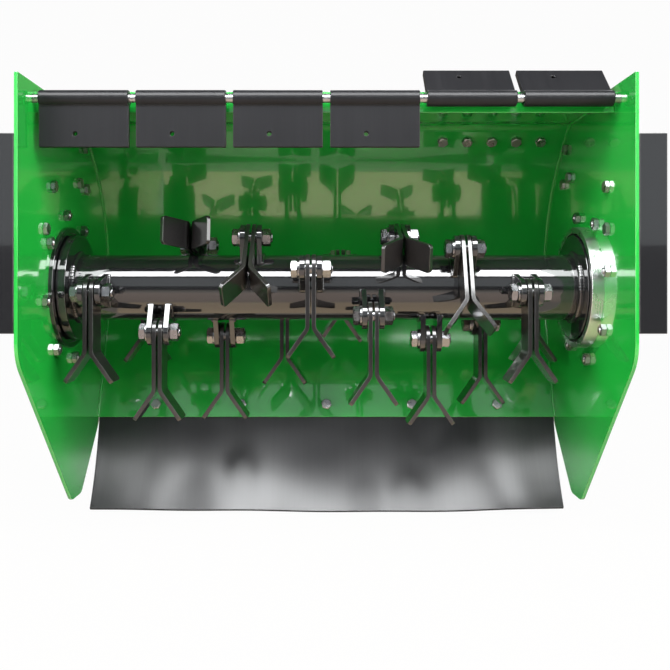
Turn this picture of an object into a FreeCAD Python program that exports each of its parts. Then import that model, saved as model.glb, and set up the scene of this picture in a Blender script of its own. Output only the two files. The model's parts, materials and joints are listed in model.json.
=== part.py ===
import FreeCAD, Part
import math
import os

import Sketcher
from FreeCAD import Placement, Rotation, Vector

# Flail mower deck, stood on its tail: +X runs along the rotor, +Z is the way it travels and
# -Y is the open side that faces the ground. All lengths are millimetres, angles degrees.
# Everything is drawn about the rotor axis, then moved so that the hitch pin line is y = z = 0.

DRIVING = [
    # the welded case
    ("cut_width", 800, "clear width between the side plates"),
    ("plate_wall", 5, "side plate"),
    ("plate_margin", 8, "side plate past the shell's outside"),
    ("shell_wall", 4, "shell sheet"),
    ("shell_radius", 282, "inner radius of the shell's back"),
    ("shell_ahead", 60, "centre of that radius, before the rotor axis"),
    ("shell_rise", 8, "centre of that radius, above the rotor axis"),
    ("rear_angle", 20, "rear panel off the vertical"),
    ("rear_panel", 147, "length of the flat rear panel"),
    ("upper_angle", 48, "where the back's radius ends"),
    ("upper_panel", 60, "flat between the back's radius and the roof bend"),
    ("roof_bend", 40, "inner radius of the roof bend"),
    ("roof_front", 130, "roof edge, before the rotor axis"),
    ("ground_edge", 205, "ground edge of the side plates, before the rotor axis"),
    ("edge_low", 95, "lower corner of that edge, below the rotor axis"),
    ("edge_round", 60, "round of that corner"),
    ("foot_front", 13, "front of the foot, behind the rotor axis"),
    ("foot_back", 62, "back of the foot, behind the rotor axis"),
    ("foot_low", 335, "foot, below the rotor axis"),
    ("foot_round", 20, "round of the foot"),
    # the hitch
    ("hitch_back", 345, "hitch pin line, behind the rotor axis"),
    ("hitch_drop", 150, "hitch pin line, below the rotor axis"),
    ("hitch_bore", 20, "hitch pin bore"),
    ("hitch_eye", 34, "radius of the cheek round the bore"),
    ("cheek_wall", 10, "hitch cheek"),
    ("cheek_near", 12, "front of the cheeks' outline, behind the rotor axis"),
    ("cheek_above", 12, "cheek above the gearbox"),
    # the rotor
    ("tube_dia", 101.6, "rotor tube"),
    ("tube_wall", 6.3, "rotor tube wall"),
    ("disc_dia", 162, "end disc"),
    ("disc_thick", 14, "end disc"),
    ("disc_gap", 3, "end disc to its bearing housing"),
    ("station_pitch", 45.5, "from one pair of flails to the next"),
    ("pivot_radius", 80, "flail pivots about the rotor axis"),
    ("first_lug", -5.5, "first lug, up from the mouth's direction"),
    ("helix_turns", 7, "pairs of stations in one turn of the helix"),
    ("lug_space", 17, "between the two ears of a lug"),
    ("lug_thick", 8, "ear"),
    ("lug_tip", 20, "round of an ear's tip"),
    ("lug_foot", 25, "half width of an ear at the tube"),
    ("lug_root", 6, "ear's blank inside the tube's surface"),
    ("bolt_dia", 16, "flail bolt"),
    ("bolt_across", 24, "flail bolt head and nut across the flats"),
    ("head_high", 10, "flail bolt head"),
    ("nut_high", 13, "flail bolt nut"),
    ("washer_thick", 3, "washer under the head"),
    ("washer_dia", 30, "washer under the head"),
    ("thread_end", 2, "bolt past its nut"),
    # a flail blade
    ("blade_thick", 6, "blade"),
    ("blade_width", 42, "blade"),
    ("blade_split", 3, "between the two blades of a pair"),
    ("wing_length", 47, "wing past its bend"),
    ("bend_start", 82, "pivot to the start of the wing's bend"),
    ("bend_angle", 35, "wing off the shank"),
    ("bend_radius", 12, "inside of the wing's bend"),
    ("blade_corner", 6, "round of the tip's corners"),
    ("pin_clearance", 0.08, "bolt in the blade's bore, each side"),
    ("rest_gap", 0.5, "a resting blade to the rotor tube"),
    # the bearings
    ("bearing_bore", 45, "rotor bearing"),
    ("bearing_outer", 85, "rotor bearing"),
    ("bearing_width", 19, "rotor bearing"),
    ("race_lip", 6, "lip of a housing or cap over the bearing's outer ring"),
    ("web_inset", 3, "web of a housing, inside the side plate"),
    ("bearing_inset", 2, "bearing, inside the side plate's outer face"),
    ("ring_half", 4, "middle of the balls to the edge of a bearing ring"),
    ("ball_dia", 12.7, "bearing ball"),
    ("ball_count", 9, "balls in a bearing"),
    ("ball_play", 0.05, "ball in its race, each side"),
    ("ring_dia", 186, "bearing housing where it passes the side plate"),
    ("ring_wall", 9, "guard ring round the end disc"),
    ("right_ring", 18, "right guard ring past the side plate"),
    ("left_ring", 6, "left guard ring past the side plate"),
    ("flange_dia", 250, "housing flange"),
    ("flange_thick", 12, "housing flange"),
    ("hub_dia", 116, "housing hub"),
    ("hub_high", 20, "hub past the side plate"),
    ("cap_thick", 5, "bearing cap"),
    ("cap_step", 2, "bearing cap inside the hub's edge"),
    ("cap_gap", 1, "shaft in the right bearing cap, each side"),
    ("flange_bolts", 8, "bolts in a flange"),
    ("flange_pitch", 112, "radius of the flange bolts"),
    ("left_bolt_angle", 10, "first bolt of the left flange"),
    ("right_bolt_angle", 33, "first bolt of the right flange"),
    ("shaft_dia", 50, "stub shaft in the end disc"),
    ("shaft_reach", 45, "stub shaft inside the rotor tube"),
    ("pulley_seat", 38, "stub shaft in the driven pulley"),
    # the front flaps
    ("rod_dia", 12, "front flap rod"),
    ("rod_ahead", 150, "front flap rod, before the rotor axis"),
    ("rod_below_roof", 10, "front flap rod, under the roof"),
    ("flap_count", 6, "front flaps"),
    ("flap_space", 132, "from one front flap to the next"),
    ("flap_width", 122, "front flap"),
    ("flap_thick", 8, "front flap"),
    ("flap_length", 67, "rod to the front flap's edge"),
    ("flap_eye", 11, "outer radius of the flap's eye"),
    ("flap_hole", 6, "small hole near the flap's edge"),
    ("flap_hole_side", 12, "that hole, left of the flap's middle"),
    ("flap_hole_up", 18, "that hole, above the flap's edge"),
    ("fold_gap", 0.5, "folded flap to the roof's edge"),
    ("rod_past", 10, "front flap rod past the side plates"),
    ("rod_collar", 6, "collar of the front flap rod"),
    ("rod_clearance", 0.3, "rod in the flap's eye, each side"),
    ("rail_leg", 25, "front rail angle"),
    ("rail_wall", 4, "front rail angle"),
    # the rear flap
    ("rear_flap_thick", 5, "rear rubber flap"),
    ("rear_flap_overlap", 42, "rear flap behind the rear panel"),
    ("rear_flap_drop", 150, "rear flap below the rear panel"),
    ("rear_flap_lean", 17, "bend of the rear flap"),
    ("rear_flap_bend", 40, "radius of that bend"),
    ("side_gap", 1, "rear flap to the side plates"),
    ("strip_thick", 4, "clamping strip"),
    ("strip_width", 30, "clamping strip"),
    ("strip_end", 20, "clamping strip to the side plates"),
    ("strip_bolts", 5, "bolts in the strip"),
    ("strip_pitch", 150, "from one strip bolt to the next"),
    ("strip_up", 22, "strip bolts above the rear panel's edge"),
    # small fasteners
    ("small_bolt", 10, "case bolts"),
    ("small_across", 16, "case bolt heads across the flats"),
    ("small_head", 6.4, "case bolt head"),
    ("small_nut", 8, "case bolt nut"),
    ("small_end", 2, "case bolt past its nut"),
    ("cover_screw", 6, "belt cover screws"),
    ("cover_screw_across", 10, "belt cover screw heads across the flats"),
    ("cover_screw_head", 4, "belt cover screw head"),
    # the gearbox and the cross drive
    ("drive_back", 300, "cross shaft, behind the rotor axis"),
    ("box_half", 70, "gearbox, half its length along the rotor"),
    ("box_side", 110, "gearbox, its other two sides"),
    ("box_wall", 11, "gearbox wall"),
    ("cover_thick", 8, "gearbox cover"),
    ("cross_dia", 25, "cross shaft"),
    ("input_dia", 25, "input shaft"),
    ("input_reach", 70, "input shaft out of the gearbox"),
    ("input_neck", 30, "input shaft inside the gearbox"),
    ("corner_inset", 14, "gearbox screws, inside its edges"),
    ("shaft_play", 0.05, "shafts in their bushes, each side"),
    ("gear_radius", 32, "pitch radius of the mitre gears"),
    ("gear_face", 12, "tooth length"),
    ("gear_teeth", 16, "teeth of a mitre gear"),
    ("gear_hub", 8, "hub behind the teeth"),
    ("tooth_thick", 3.6, "tooth at the outer end"),
    ("tooth_tip", 3, "tooth outside the pitch cone"),
    ("tooth_root", 4.5, "tooth inside the pitch cone"),
    ("cross_tube", 70, "cross shaft tube"),
    ("cross_tube_wall", 5, "cross shaft tube"),
    ("bush_length", 20, "bush at the end of the cross shaft tube"),
    # the belt drive
    ("case_stand", 19, "belt case off the side plate"),
    ("case_wall", 3, "belt case sheet"),
    ("case_depth", 45, "belt cover"),
    ("case_clear", 24, "belt cover round the belts"),
    ("case_rim", 14, "belt cover's rim"),
    ("driven_radius", 50, "pitch radius of the driven pulley"),
    ("drive_radius", 75, "pitch radius of the drive pulley"),
    ("pulley_width", 30, "both pulleys"),
    ("pulley_inset", 7, "pulleys off the belt case"),
    ("belt_wide", 10, "belt"),
    ("belt_high", 8, "belt"),
    ("belt_space", 15, "between the two belts' middles"),
    ("belt_gap", 0.4, "belt to its groove"),
    ("idler_radius", 26, "idler"),
    ("idler_back", 148, "idler, behind the rotor axis"),
    ("idler_pin", 12, "idler pin"),
    ("idler_pin_past", 4, "idler pin past the idler"),
    ("idler_gap", 0.5, "idler to its shoulder"),
    ("arm_half", 14, "half width of the idler's arm"),
    ("arm_drop", 62, "idler's arm below its pin"),
    ("arm_thick", 4, "idler's arm"),
    ("case_foot", 8, "radius of the belt case's feet"),
    ("case_foot_out", 12, "those feet, outside the hub"),
    ("case_hole_gap", 2, "holes in the belt case round hub and shaft"),
    # outside pieces that touch the ground or a lifting chain
    ("skid_wall", 6, "skid plate"),
    ("skid_sole", 36, "skid sole"),
    ("skid_low", 60, "skid's tail, below the rotor axis"),
    ("skid_high", 200, "skid's nose, above the rotor axis"),
    ("skid_leg", 140, "skid plate up the side"),
    ("skid_leg_low", 60, "bottom of that plate, above the rotor axis"),
    ("skid_leg_high", 170, "top of that plate, above the rotor axis"),
    ("skid_rail", 45, "upright of the skid beside the sole"),
    ("skid_ahead", 1, "skid sole before the ground edge"),
    ("skid_relief", 2, "skid to the bearing flange"),
    ("lift_wall", 6, "lifting plate"),
    ("lift_eye", 20, "lifting eye"),
    ("lift_back", 70, "lifting eye, behind the rotor axis"),
    ("lift_rise", 20, "lifting eye above the side plates"),
    ("lift_round", 24, "round of the lifting plate's top"),
    ("bracket_wall", 5, "upper bracket"),
    ("bracket_base", 36, "upper bracket on the panel"),
    ("bracket_leg", 32, "upper bracket's leg"),
    ("bracket_pitch", 41, "from one bracket bolt to the next"),
    ("bracket_bolts", 5, "bolts in the upper bracket"),
    ("bracket_line", 18, "bracket bolts, below the upper panel's top edge"),
    ("bracket_end", 20, "upper bracket to the side plate"),
    # the tools that cut
    ("over_cut", 1, "cutting tools past the face that they open"),
    ("bore_reach", 60, "length of the tools that bore a panel"),
]

STATIONS = 16
SIDES = ("right", "left")
FLAPS_FOLDED_BACK = (5, 6)
BOLT_TURN = 15  # degrees that each flail bolt's hexagon is turned past the one before
CASE_FEET = (60, 180, 300)
DRIVEN_END_SCREWS = (130, 180, 230)
DRIVE_END_SCREWS = (-60, 0, 60)
LIFT_OUTLINE = ((28, 144), (118, 152), (130, 190), (110, 250))

doc = FreeCAD.newDocument("flail_mower_deck")
dim = doc.addObject("Spreadsheet::Sheet", "dim")
nodes = []


def fill_sheet():
    for row, (alias, value, note) in enumerate(DRIVING, start=1):
        dim.set(f"A{row}", note)
        dim.set(f"B{row}", str(value))
        dim.setAlias(f"B{row}", alias)
    doc.recompute()


def size(alias):
    return float(dim.get(alias))


def worth(text):
    """The number that an expression gives now."""
    return float(dim.evalExpression(text))


# ---------------------------------------------------------------- drawing helpers

UPRIGHT = Rotation()
ALONG_X = Rotation(Vector(0, 1, 0), 90)
ALONG_Y = Rotation(Vector(1, 0, 0), -90)
FACING_BACK = Rotation(Vector(1, 0, 0), 90)  # sketch x, y, normal become X, Z, -Y
TURNED_BACK = Rotation(Vector(0, 1, 0), 180)  # +X becomes -X
SECTION = Rotation(Vector(1, 1, 1), 120)  # sketch x, y, normal become Y, Z, X


def bind(item, **texts):
    for name, text in texts.items():
        item.setExpression(name, text)
    return item


def put(item, x="0", y="0", z="0", turn=UPRIGHT):
    item.Placement = Placement(Vector(), turn)
    for axis, text in zip("xyz", (x, y, z)):
        item.setExpression(f"Placement.Base.{axis}", text)
    return item


def node(item, label):
    """Names a sub-part and moves it from the rotor axis to the hitch pin line."""
    item.Label = label
    put(item, "0", "-dim.hitch_back", "dim.hitch_drop", item.Placement.Rotation)
    nodes.append(item)
    return item


def cylinder(radius, length, x="0", y="0", z="0", turn=ALONG_X):
    return put(bind(doc.addObject("Part::Cylinder", "round"), Radius=radius, Height=length), x, y, z, turn)


def hexagon(across, height, x="0", y="0", z="0", turn=ALONG_X):
    item = doc.addObject("Part::Prism", "hexagon")
    item.Polygon = 6
    return put(bind(item, Circumradius=f"({across}) / sqrt(3)", Height=height), x, y, z, turn)


def block(x0, x1, y0, y1, z0, z1):
    item = bind(
        doc.addObject("Part::Box", "block"),
        Length=f"({x1}) - ({x0})",
        Width=f"({y1}) - ({y0})",
        Height=f"({z1}) - ({z0})",
    )
    return put(item, x0, y0, z0)


def fuse(*items):
    item = doc.addObject("Part::MultiFuse", "fusion")
    item.Shapes = list(items)
    item.Refine = True
    return item


def cut(base, *tools):
    item = doc.addObject("Part::Cut", "cut")
    item.Base = base
    item.Tool = tools[0] if len(tools) == 1 else fuse(*tools)
    return item


def common(*items):
    item = doc.addObject("Part::MultiCommon", "overlap")
    item.Shapes = list(items)
    return item


def together(*items):
    """Separate solids that share one sub-part."""
    item = doc.addObject("Part::Compound", "group")
    item.Links = list(items)
    return item


def copy(template, x="0", y="0", z="0", turn=UPRIGHT):
    return put(together(template), x, y, z, turn)


def mirror_x(template):
    item = doc.addObject("Part::Mirroring", "mirrored")
    item.Source = template
    item.Normal = Vector(1, 0, 0)
    return item


def extrude(sketch, length, solid=True):
    item = doc.addObject("Part::Extrusion", "extrusion")
    item.Base = sketch
    item.DirMode = "Normal"
    item.Solid = solid
    return bind(item, LengthFwd=length)


def thicken(surface, wall, side="-"):
    """Sheet metal from a face; side is "-" where its run is drawn upwards, "+" where downwards."""
    item = doc.addObject("Part::Offset", "sheet")
    item.Source = surface
    item.Fill = True
    return bind(item, Value=f"{side}({wall})")


def section_sketch(x="0", name="section"):
    """A sketch across the rotor: its x is Y, its y is Z."""
    return put(doc.addObject("Sketcher::SketchObject", name), x, turn=SECTION)


def rule(sketch, *terms, text=None):
    """Adds one constraint and binds its value to an expression."""
    index = sketch.addConstraint(Sketcher.Constraint(*terms))
    if text is not None:
        sketch.setExpression(f"Constraints[{index}]", text)


def pin_point(sketch, edge, end, x, y):
    """Holds a point of a sketch at two expressions."""
    for kind, text in (("DistanceX", x), ("DistanceY", y)):
        rule(sketch, kind, -1, 1, edge, end, worth(text), text=text)


def polygon(sketch, corners):
    """A closed outline of straight edges through corners given as expressions."""
    points = [Vector(worth(x), worth(y), 0) for x, y in corners]
    for number, point in enumerate(points):
        sketch.addGeometry(Part.LineSegment(point, points[(number + 1) % len(points)]))
    for number in range(len(points)):
        rule(sketch, "Coincident", number, 2, (number + 1) % len(points), 1)
    for number, (x, y) in enumerate(corners):
        pin_point(sketch, number, 1, x, y)
    return sketch


def plate(corners, x0, length):
    """A flat plate across the rotor, cut to a straight-edged outline."""
    return extrude(polygon(section_sketch(x0), corners), length)


def on_side(side, right_piece):
    """A piece drawn for the right side, or its mirror image for the left."""
    return right_piece if side == "right" else mirror_x(right_piece)


def heading(degrees):
    return Vector(math.cos(math.radians(degrees)), math.sin(math.radians(degrees)), 0)


def around_x(degrees_up):
    """Turns a piece drawn towards the mouth (-Y) up by an angle."""
    return Rotation(Vector(1, 0, 0), -degrees_up)


# ---------------------------------------------------------------- places that many pieces share

HALF = "(dim.cut_width / 2)"
OUTSIDE = f"({HALF} + dim.plate_wall)"
BEARING_IN = f"({OUTSIDE} - dim.bearing_inset)"
CASE_IN = f"({OUTSIDE} + dim.case_stand)"
CASE_FACE = f"({CASE_IN} + dim.case_wall)"
PULLEY_IN = f"({CASE_FACE} + dim.pulley_inset)"
BALL_CIRCLE = "((dim.bearing_bore + dim.bearing_outer) / 4)"
DISC_OUT = f"({HALF} - dim.web_inset - dim.disc_gap)"
DISC_IN = f"({DISC_OUT} - dim.disc_thick)"
ROOF = (
    "(dim.shell_rise + (dim.shell_radius - dim.roof_bend) * sin(dim.upper_angle)"
    " + dim.upper_panel * cos(dim.upper_angle) + dim.roof_bend)"
)
ROD_Z = f"({ROOF} - dim.rod_below_roof)"
BOX_Y = "dim.drive_back"
REAR_Y = "(-dim.shell_ahead + dim.shell_radius * cos(dim.rear_angle) - dim.rear_panel * sin(dim.rear_angle))"
REAR_Z = "(dim.shell_rise - dim.shell_radius * sin(dim.rear_angle) - dim.rear_panel * cos(dim.rear_angle))"


def draw_shell_run(sketch, out, front):
    """Rear panel, back, upper panel, bend and roof, at a distance outside the shell's inner face."""
    grow = worth(out)
    start, end = -size("rear_angle"), size("upper_angle")
    centre = Vector(-size("shell_ahead"), size("shell_rise"), 0)
    radius, bend = size("shell_radius") + grow, size("roof_bend") + grow
    back_low, back_high = centre + heading(start) * radius, centre + heading(end) * radius
    rear = back_low - heading(start + 90) * size("rear_panel")
    upper = back_high + heading(end + 90) * size("upper_panel")
    bend_centre = upper - heading(end) * bend
    roof = bend_centre + heading(90) * bend
    arc = (math.radians(start), math.radians(end), math.radians(90))
    axis = Vector(0, 0, 1)
    sketch.addGeometry(Part.LineSegment(rear, back_low))
    sketch.addGeometry(Part.ArcOfCircle(Part.Circle(centre, axis, radius), arc[0], arc[1]))
    sketch.addGeometry(Part.LineSegment(back_high, upper))
    sketch.addGeometry(Part.ArcOfCircle(Part.Circle(bend_centre, axis, bend), arc[1], arc[2]))
    sketch.addGeometry(Part.LineSegment(roof, Vector(-worth(front), roof.y, 0)))
    pin_point(sketch, 1, 3, "-dim.shell_ahead", "dim.shell_rise")
    rule(sketch, "Radius", 1, radius, text=f"dim.shell_radius + {out}")
    rule(sketch, "Radius", 3, bend, text=f"dim.roof_bend + {out}")
    for first, first_end, second in ((0, 2, 1), (1, 2, 2), (2, 2, 3), (3, 2, 4)):
        rule(sketch, "Tangent", first, first_end, second, 1)
    rule(sketch, "Distance", 0, size("rear_panel"), text="dim.rear_panel")
    rule(sketch, "Distance", 2, size("upper_panel"), text="dim.upper_panel")
    rule(sketch, "Angle", -1, 1, 0, 1, math.radians(90 + start), text="90 - dim.rear_angle")
    rule(sketch, "Angle", -1, 1, 2, 1, math.radians(90 + end), text="90 + dim.upper_angle")
    rule(sketch, "Horizontal", 4)
    rule(sketch, "DistanceX", -1, 1, 4, 2, -worth(front), text=f"-({front})")


def on_rear_panel(up, out):
    """A place on the rear panel: up from its lower edge, and out from its inner face."""
    y = f"({REAR_Y} + ({up}) * sin(dim.rear_angle) + ({out}) * cos(dim.rear_angle))"
    z = f"({REAR_Z} + ({up}) * cos(dim.rear_angle) - ({out}) * sin(dim.rear_angle))"
    return y, z


def on_upper_panel(up, out):
    """A place on the upper panel: up from its lower edge, and out from its inner face."""
    reach = f"(dim.shell_radius + ({out}))"
    y = f"(-dim.shell_ahead + {reach} * cos(dim.upper_angle) - ({up}) * sin(dim.upper_angle))"
    z = f"(dim.shell_rise + {reach} * sin(dim.upper_angle) + ({up}) * cos(dim.upper_angle))"
    return y, z


# ---------------------------------------------------------------- fasteners

def hex_bolt(dia, across, head, grip, nut, spare, washer_dia=None, washer="0"):
    """A bolt along +X whose grip starts at x = 0, and its nut, as two solids."""
    length = f"({grip}) + ({nut}) + ({spare}) + ({washer})"
    pieces = [
        hexagon(across, head, f"-({head}) - ({washer})"),
        cylinder(f"({dia}) / 2", length, f"-({washer})"),
    ]
    if washer_dia is not None:
        pieces.append(cylinder(f"({washer_dia}) / 2", washer, f"-({washer})"))
    thread = cylinder(f"({dia}) / 2", f"({nut}) + 2 * dim.over_cut", f"({grip}) - dim.over_cut")
    return together(fuse(*pieces), cut(hexagon(across, nut, grip), thread))


def case_bolt(grip):
    return hex_bolt(
        "dim.small_bolt", "dim.small_across", "dim.small_head", grip, "dim.small_nut", "dim.small_end"
    )


def case_screw(length):
    """A headed screw along +X with no nut; its head lies behind x = 0."""
    head = hexagon("dim.small_across", "dim.small_head", "-dim.small_head")
    return fuse(head, cylinder("dim.small_bolt / 2", length))


def bore_x(y, z, dia="dim.small_bolt"):
    """A bore right across the deck."""
    return cylinder(f"({dia}) / 2", "2 * dim.cut_width", "-dim.cut_width", y, z)


def pointing(degrees):
    """The turn that lays a piece drawn along +X in the section, up from +Y."""
    direction = heading(degrees)
    return Rotation(Vector(1, 0, 0), Vector(0, direction.x, direction.y))


def panel_bores(place, xs, turn):
    """Bolt bores through a slanted panel."""
    y, z = place
    upright_turn = turn.multiply(ALONG_X)
    return [cylinder("dim.small_bolt / 2", "dim.bore_reach", x, y, z, upright_turn) for x in xs]


# ---------------------------------------------------------------- places of the small fasteners

LIFT_BOLTS = {
    "left": (("46", "168"), ("82", "162"), ("74", "229")),
    "right": (("69", "180"), ("101", "173"), ("86", "229")),
}
SKID_BOLTS = {
    "left": (("-107", "83"), ("-75", "147")),
    "right": (("-107", "83"), ("-105", "143")),
}
EYE_Z = f"({ROOF} + dim.shell_wall + dim.plate_margin + dim.lift_rise)"


BRACKET_LINE = "dim.upper_panel - dim.bracket_line"
BORE_START = "-dim.bore_reach / 3"


def out_of_rear():
    return pointing(-size("rear_angle"))


def out_of_upper():
    return pointing(size("upper_angle"))


def strip_places():
    for number in range(int(size("strip_bolts"))):
        yield f"({number} - (dim.strip_bolts - 1) / 2) * dim.strip_pitch"


def strip_bores():
    return panel_bores(on_rear_panel("dim.strip_up", BORE_START), strip_places(), out_of_rear())


def bracket_places():
    for number in range(1, int(size("bracket_bolts")) + 1):
        yield f"{HALF} - {number} * dim.bracket_pitch"


def bracket_bores():
    return panel_bores(on_upper_panel(BRACKET_LINE, BORE_START), bracket_places(), out_of_upper())


def flange_bolt_places(side):
    for number in range(int(size("flange_bolts"))):
        angle = f"(dim.{side}_bolt_angle + {number} * 360 / dim.flange_bolts)"
        yield f"dim.flange_pitch * cos({angle})", f"dim.flange_pitch * sin({angle})"


# ---------------------------------------------------------------- the welded case

def housing_shell():
    path = section_sketch(f"-{HALF}")
    draw_shell_run(path, "0", "dim.roof_front")
    sheet = thicken(extrude(path, "dim.cut_width", solid=False), "dim.shell_wall")
    return cut(sheet, *strip_bores(), *bracket_bores())


def side_plate_blank():
    """The right side plate without its bores, as a PartDesign body."""
    body = doc.addObject("PartDesign::Body", "plate_body")
    sketch = body.newObject("Sketcher::SketchObject", "plate_outline")
    plane = next(item for item in body.Origin.OriginFeatures if item.Role == "YZ_Plane")
    sketch.AttachmentSupport = [(plane, "")]
    sketch.MapMode = "FlatFace"
    sketch.setExpression("AttachmentOffset.Base.z", HALF)
    draw_shell_run(sketch, "(dim.shell_wall + dim.plate_margin)", "dim.ground_edge")
    rear, roof = sketch.Geometry[0].StartPoint, sketch.Geometry[4].EndPoint
    corners = [
        ("-dim.ground_edge", "-dim.edge_low"),
        ("dim.foot_front", "-dim.foot_low"),
        ("dim.foot_back", "-dim.foot_low"),
    ]
    points = [roof, *(Vector(worth(y), worth(z), 0) for y, z in corners), rear]
    for number in range(4):
        sketch.addGeometry(Part.LineSegment(points[number], points[number + 1]))
    rule(sketch, "Coincident", 4, 2, 5, 1)
    for number, (y, z) in enumerate(corners, start=6):
        rule(sketch, "Coincident", number - 1, 2, number, 1)
        pin_point(sketch, number, 1, y, z)
    rule(sketch, "Coincident", 8, 2, 0, 1)
    pad = bind(body.newObject("PartDesign::Pad", "plate_sheet"), Length="dim.plate_wall")
    pad.Profile = sketch
    doc.recompute()
    rounds = (("edge_round", corners[0]), ("foot_round", corners[1]), ("foot_round", corners[2]))
    for alias, (y, z) in rounds:
        last = body.Tip
        names = [
            f"Edge{number}"
            for number, edge in enumerate(last.Shape.Edges, start=1)
            if edge.BoundBox.XLength > size("plate_wall") / 2
            and abs(edge.CenterOfMass.y - worth(y)) + abs(edge.CenterOfMass.z - worth(z)) < 0.01
        ]
        fillet = bind(body.newObject("PartDesign::Fillet", "plate_round"), Radius=f"dim.{alias}")
        fillet.Base = (last, names)
        doc.recompute()
    return body


def side_plates():
    blank = side_plate_blank()
    for side in SIDES:
        bores = [bore_x("0", "0", "dim.ring_dia"), bore_x("-dim.rod_ahead", ROD_Z, "dim.rod_dia")]
        bores += [bore_x(y, z) for y, z in LIFT_BOLTS[side] + SKID_BOLTS[side]]
        bores += [bore_x(y, z) for y, z in flange_bolt_places(side)]
        node(cut(on_side(side, blank), *bores), f"{side}_side_plate")


def front_rail():
    """Angle welded under the roof's front edge."""
    y = "-dim.roof_front"
    leg = block(f"-{HALF}", HALF, y, f"{y} + dim.rail_wall", f"{ROOF} - dim.rail_leg", ROOF)
    flat = block(f"-{HALF}", HALF, y, f"{y} + dim.rail_leg", f"{ROOF} - dim.rail_wall", ROOF)
    return fuse(leg, flat)


def upper_bracket():
    """Stiffening angle bolted along the drive side of the upper panel."""
    low, high = "dim.upper_panel - dim.bracket_base", "dim.upper_panel"
    wall = "dim.shell_wall"
    corners = [
        on_upper_panel(low, wall),
        on_upper_panel(high, wall),
        on_upper_panel(high, f"{wall} + dim.bracket_wall"),
        on_upper_panel(f"{low} + dim.bracket_wall", f"{wall} + dim.bracket_wall"),
        on_upper_panel(f"{low} + dim.bracket_wall", f"{wall} + dim.bracket_leg"),
        on_upper_panel(low, f"{wall} + dim.bracket_leg"),
    ]
    length = "dim.bracket_bolts * dim.bracket_pitch"
    return cut(plate(corners, f"{HALF} - dim.bracket_end - {length}", length), *bracket_bores())


def lifting_plate(side):
    """Bolted outside the side plate; its eye stands clear above the roof."""
    corners = [(str(y), str(z)) for y, z in LIFT_OUTLINE]
    corners += [(f"dim.lift_back {sign} dim.lift_round", EYE_Z) for sign in "+-"]
    sheet = plate(corners, OUTSIDE, "dim.lift_wall")
    top = cylinder("dim.lift_round", "dim.lift_wall", OUTSIDE, "dim.lift_back", EYE_Z)
    bores = [bore_x(y, z) for y, z in LIFT_BOLTS[side]]
    return cut(on_side(side, fuse(sheet, top)), *bores, bore_x("dim.lift_back", EYE_Z, "dim.lift_eye"))


def side_skid(side):
    """Pressed shoe: a plate up the side and a sole past the ground edge."""
    front = "-dim.ground_edge - dim.skid_ahead"
    low, high = "-dim.skid_low", "dim.skid_high"
    out = f"{OUTSIDE} + dim.skid_wall"
    leg = block(OUTSIDE, out, front, f"{front} + dim.skid_leg", "dim.skid_leg_low", "dim.skid_leg_high")
    rail = block(OUTSIDE, out, front, f"{front} + dim.skid_rail", low, high)
    sole = block(OUTSIDE, f"{OUTSIDE} + dim.skid_sole", front, f"{front} + dim.skid_wall", low, high)
    flange = bore_x("0", "0", "dim.flange_dia + 2 * dim.skid_relief")
    bores = [bore_x(y, z) for y, z in SKID_BOLTS[side]]
    return cut(on_side(side, fuse(leg, rail, sole)), flange, *bores)


def case_bolts():
    """Heads inside the case, nuts outside it, and the screws that hold the gearbox."""
    y, z = on_upper_panel(BRACKET_LINE, "0")
    bolt = case_bolt("dim.shell_wall + dim.bracket_wall")
    bolts = [copy(bolt, x, y, z, out_of_upper()) for x in bracket_places()]
    for places, wall in ((LIFT_BOLTS, "dim.lift_wall"), (SKID_BOLTS, "dim.skid_wall")):
        bolt = case_bolt(f"dim.plate_wall + {wall}")
        bolts += [copy(bolt, HALF, y, z) for y, z in places["right"]]
        bolts += [copy(bolt, f"-{HALF}", y, z, TURNED_BACK) for y, z in places["left"]]
    screw = case_screw("dim.cheek_wall + dim.box_wall")
    start = "dim.box_half + dim.cheek_wall"
    for y, z in box_corners():
        bolts.append(copy(screw, start, y, z, TURNED_BACK))
        bolts.append(copy(screw, f"-({start})", y, z))
    return together(*bolts)


# ---------------------------------------------------------------- hitch

def hitch_cheeks():
    """Two plates welded to the shell's back; they hold the gearbox and the hitch pins."""
    back = f"{BOX_Y} + dim.box_side / 2"
    corners = [
        ("dim.cheek_near", "dim.box_side / 2 + dim.cheek_above"),
        (back, "dim.box_side / 2 + dim.cheek_above"),
        (back, "-dim.box_side / 2"),
        ("dim.hitch_back + dim.hitch_eye", "-dim.hitch_drop"),
        ("dim.hitch_back", "-dim.hitch_drop - dim.hitch_eye"),
        ("dim.cheek_near", "-dim.hitch_drop - dim.hitch_eye"),
    ]
    inner = section_sketch("-dim.cut_width")
    draw_shell_run(inner, "dim.shell_wall", "dim.ground_edge")
    rear, roof = inner.Geometry[0].StartPoint, inner.Geometry[4].EndPoint
    inner.addGeometry(Part.LineSegment(roof, Vector(roof.x, rear.y, 0)))
    inner.addGeometry(Part.LineSegment(Vector(roof.x, rear.y, 0), rear))
    rule(inner, "Coincident", 4, 2, 5, 1)
    rule(inner, "Vertical", 5)
    rule(inner, "Coincident", 5, 2, 6, 1)
    rule(inner, "Horizontal", 6)
    rule(inner, "Coincident", 6, 2, 0, 1)
    chamber = extrude(inner, "2 * dim.cut_width")
    eye = cylinder("dim.hitch_eye", "dim.cheek_wall", "dim.box_half", "dim.hitch_back", "-dim.hitch_drop")
    pin = bore_x("dim.hitch_back", "-dim.hitch_drop", "dim.hitch_bore")
    bores = [bore_x(y, z) for y, z in box_corners()]
    cheek = cut(fuse(plate(corners, "dim.box_half", "dim.cheek_wall"), eye), chamber, pin, *bores)
    return together(cut(cheek, bore_x(BOX_Y, "0", "dim.cross_tube")), mirror_x(cheek))


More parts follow.
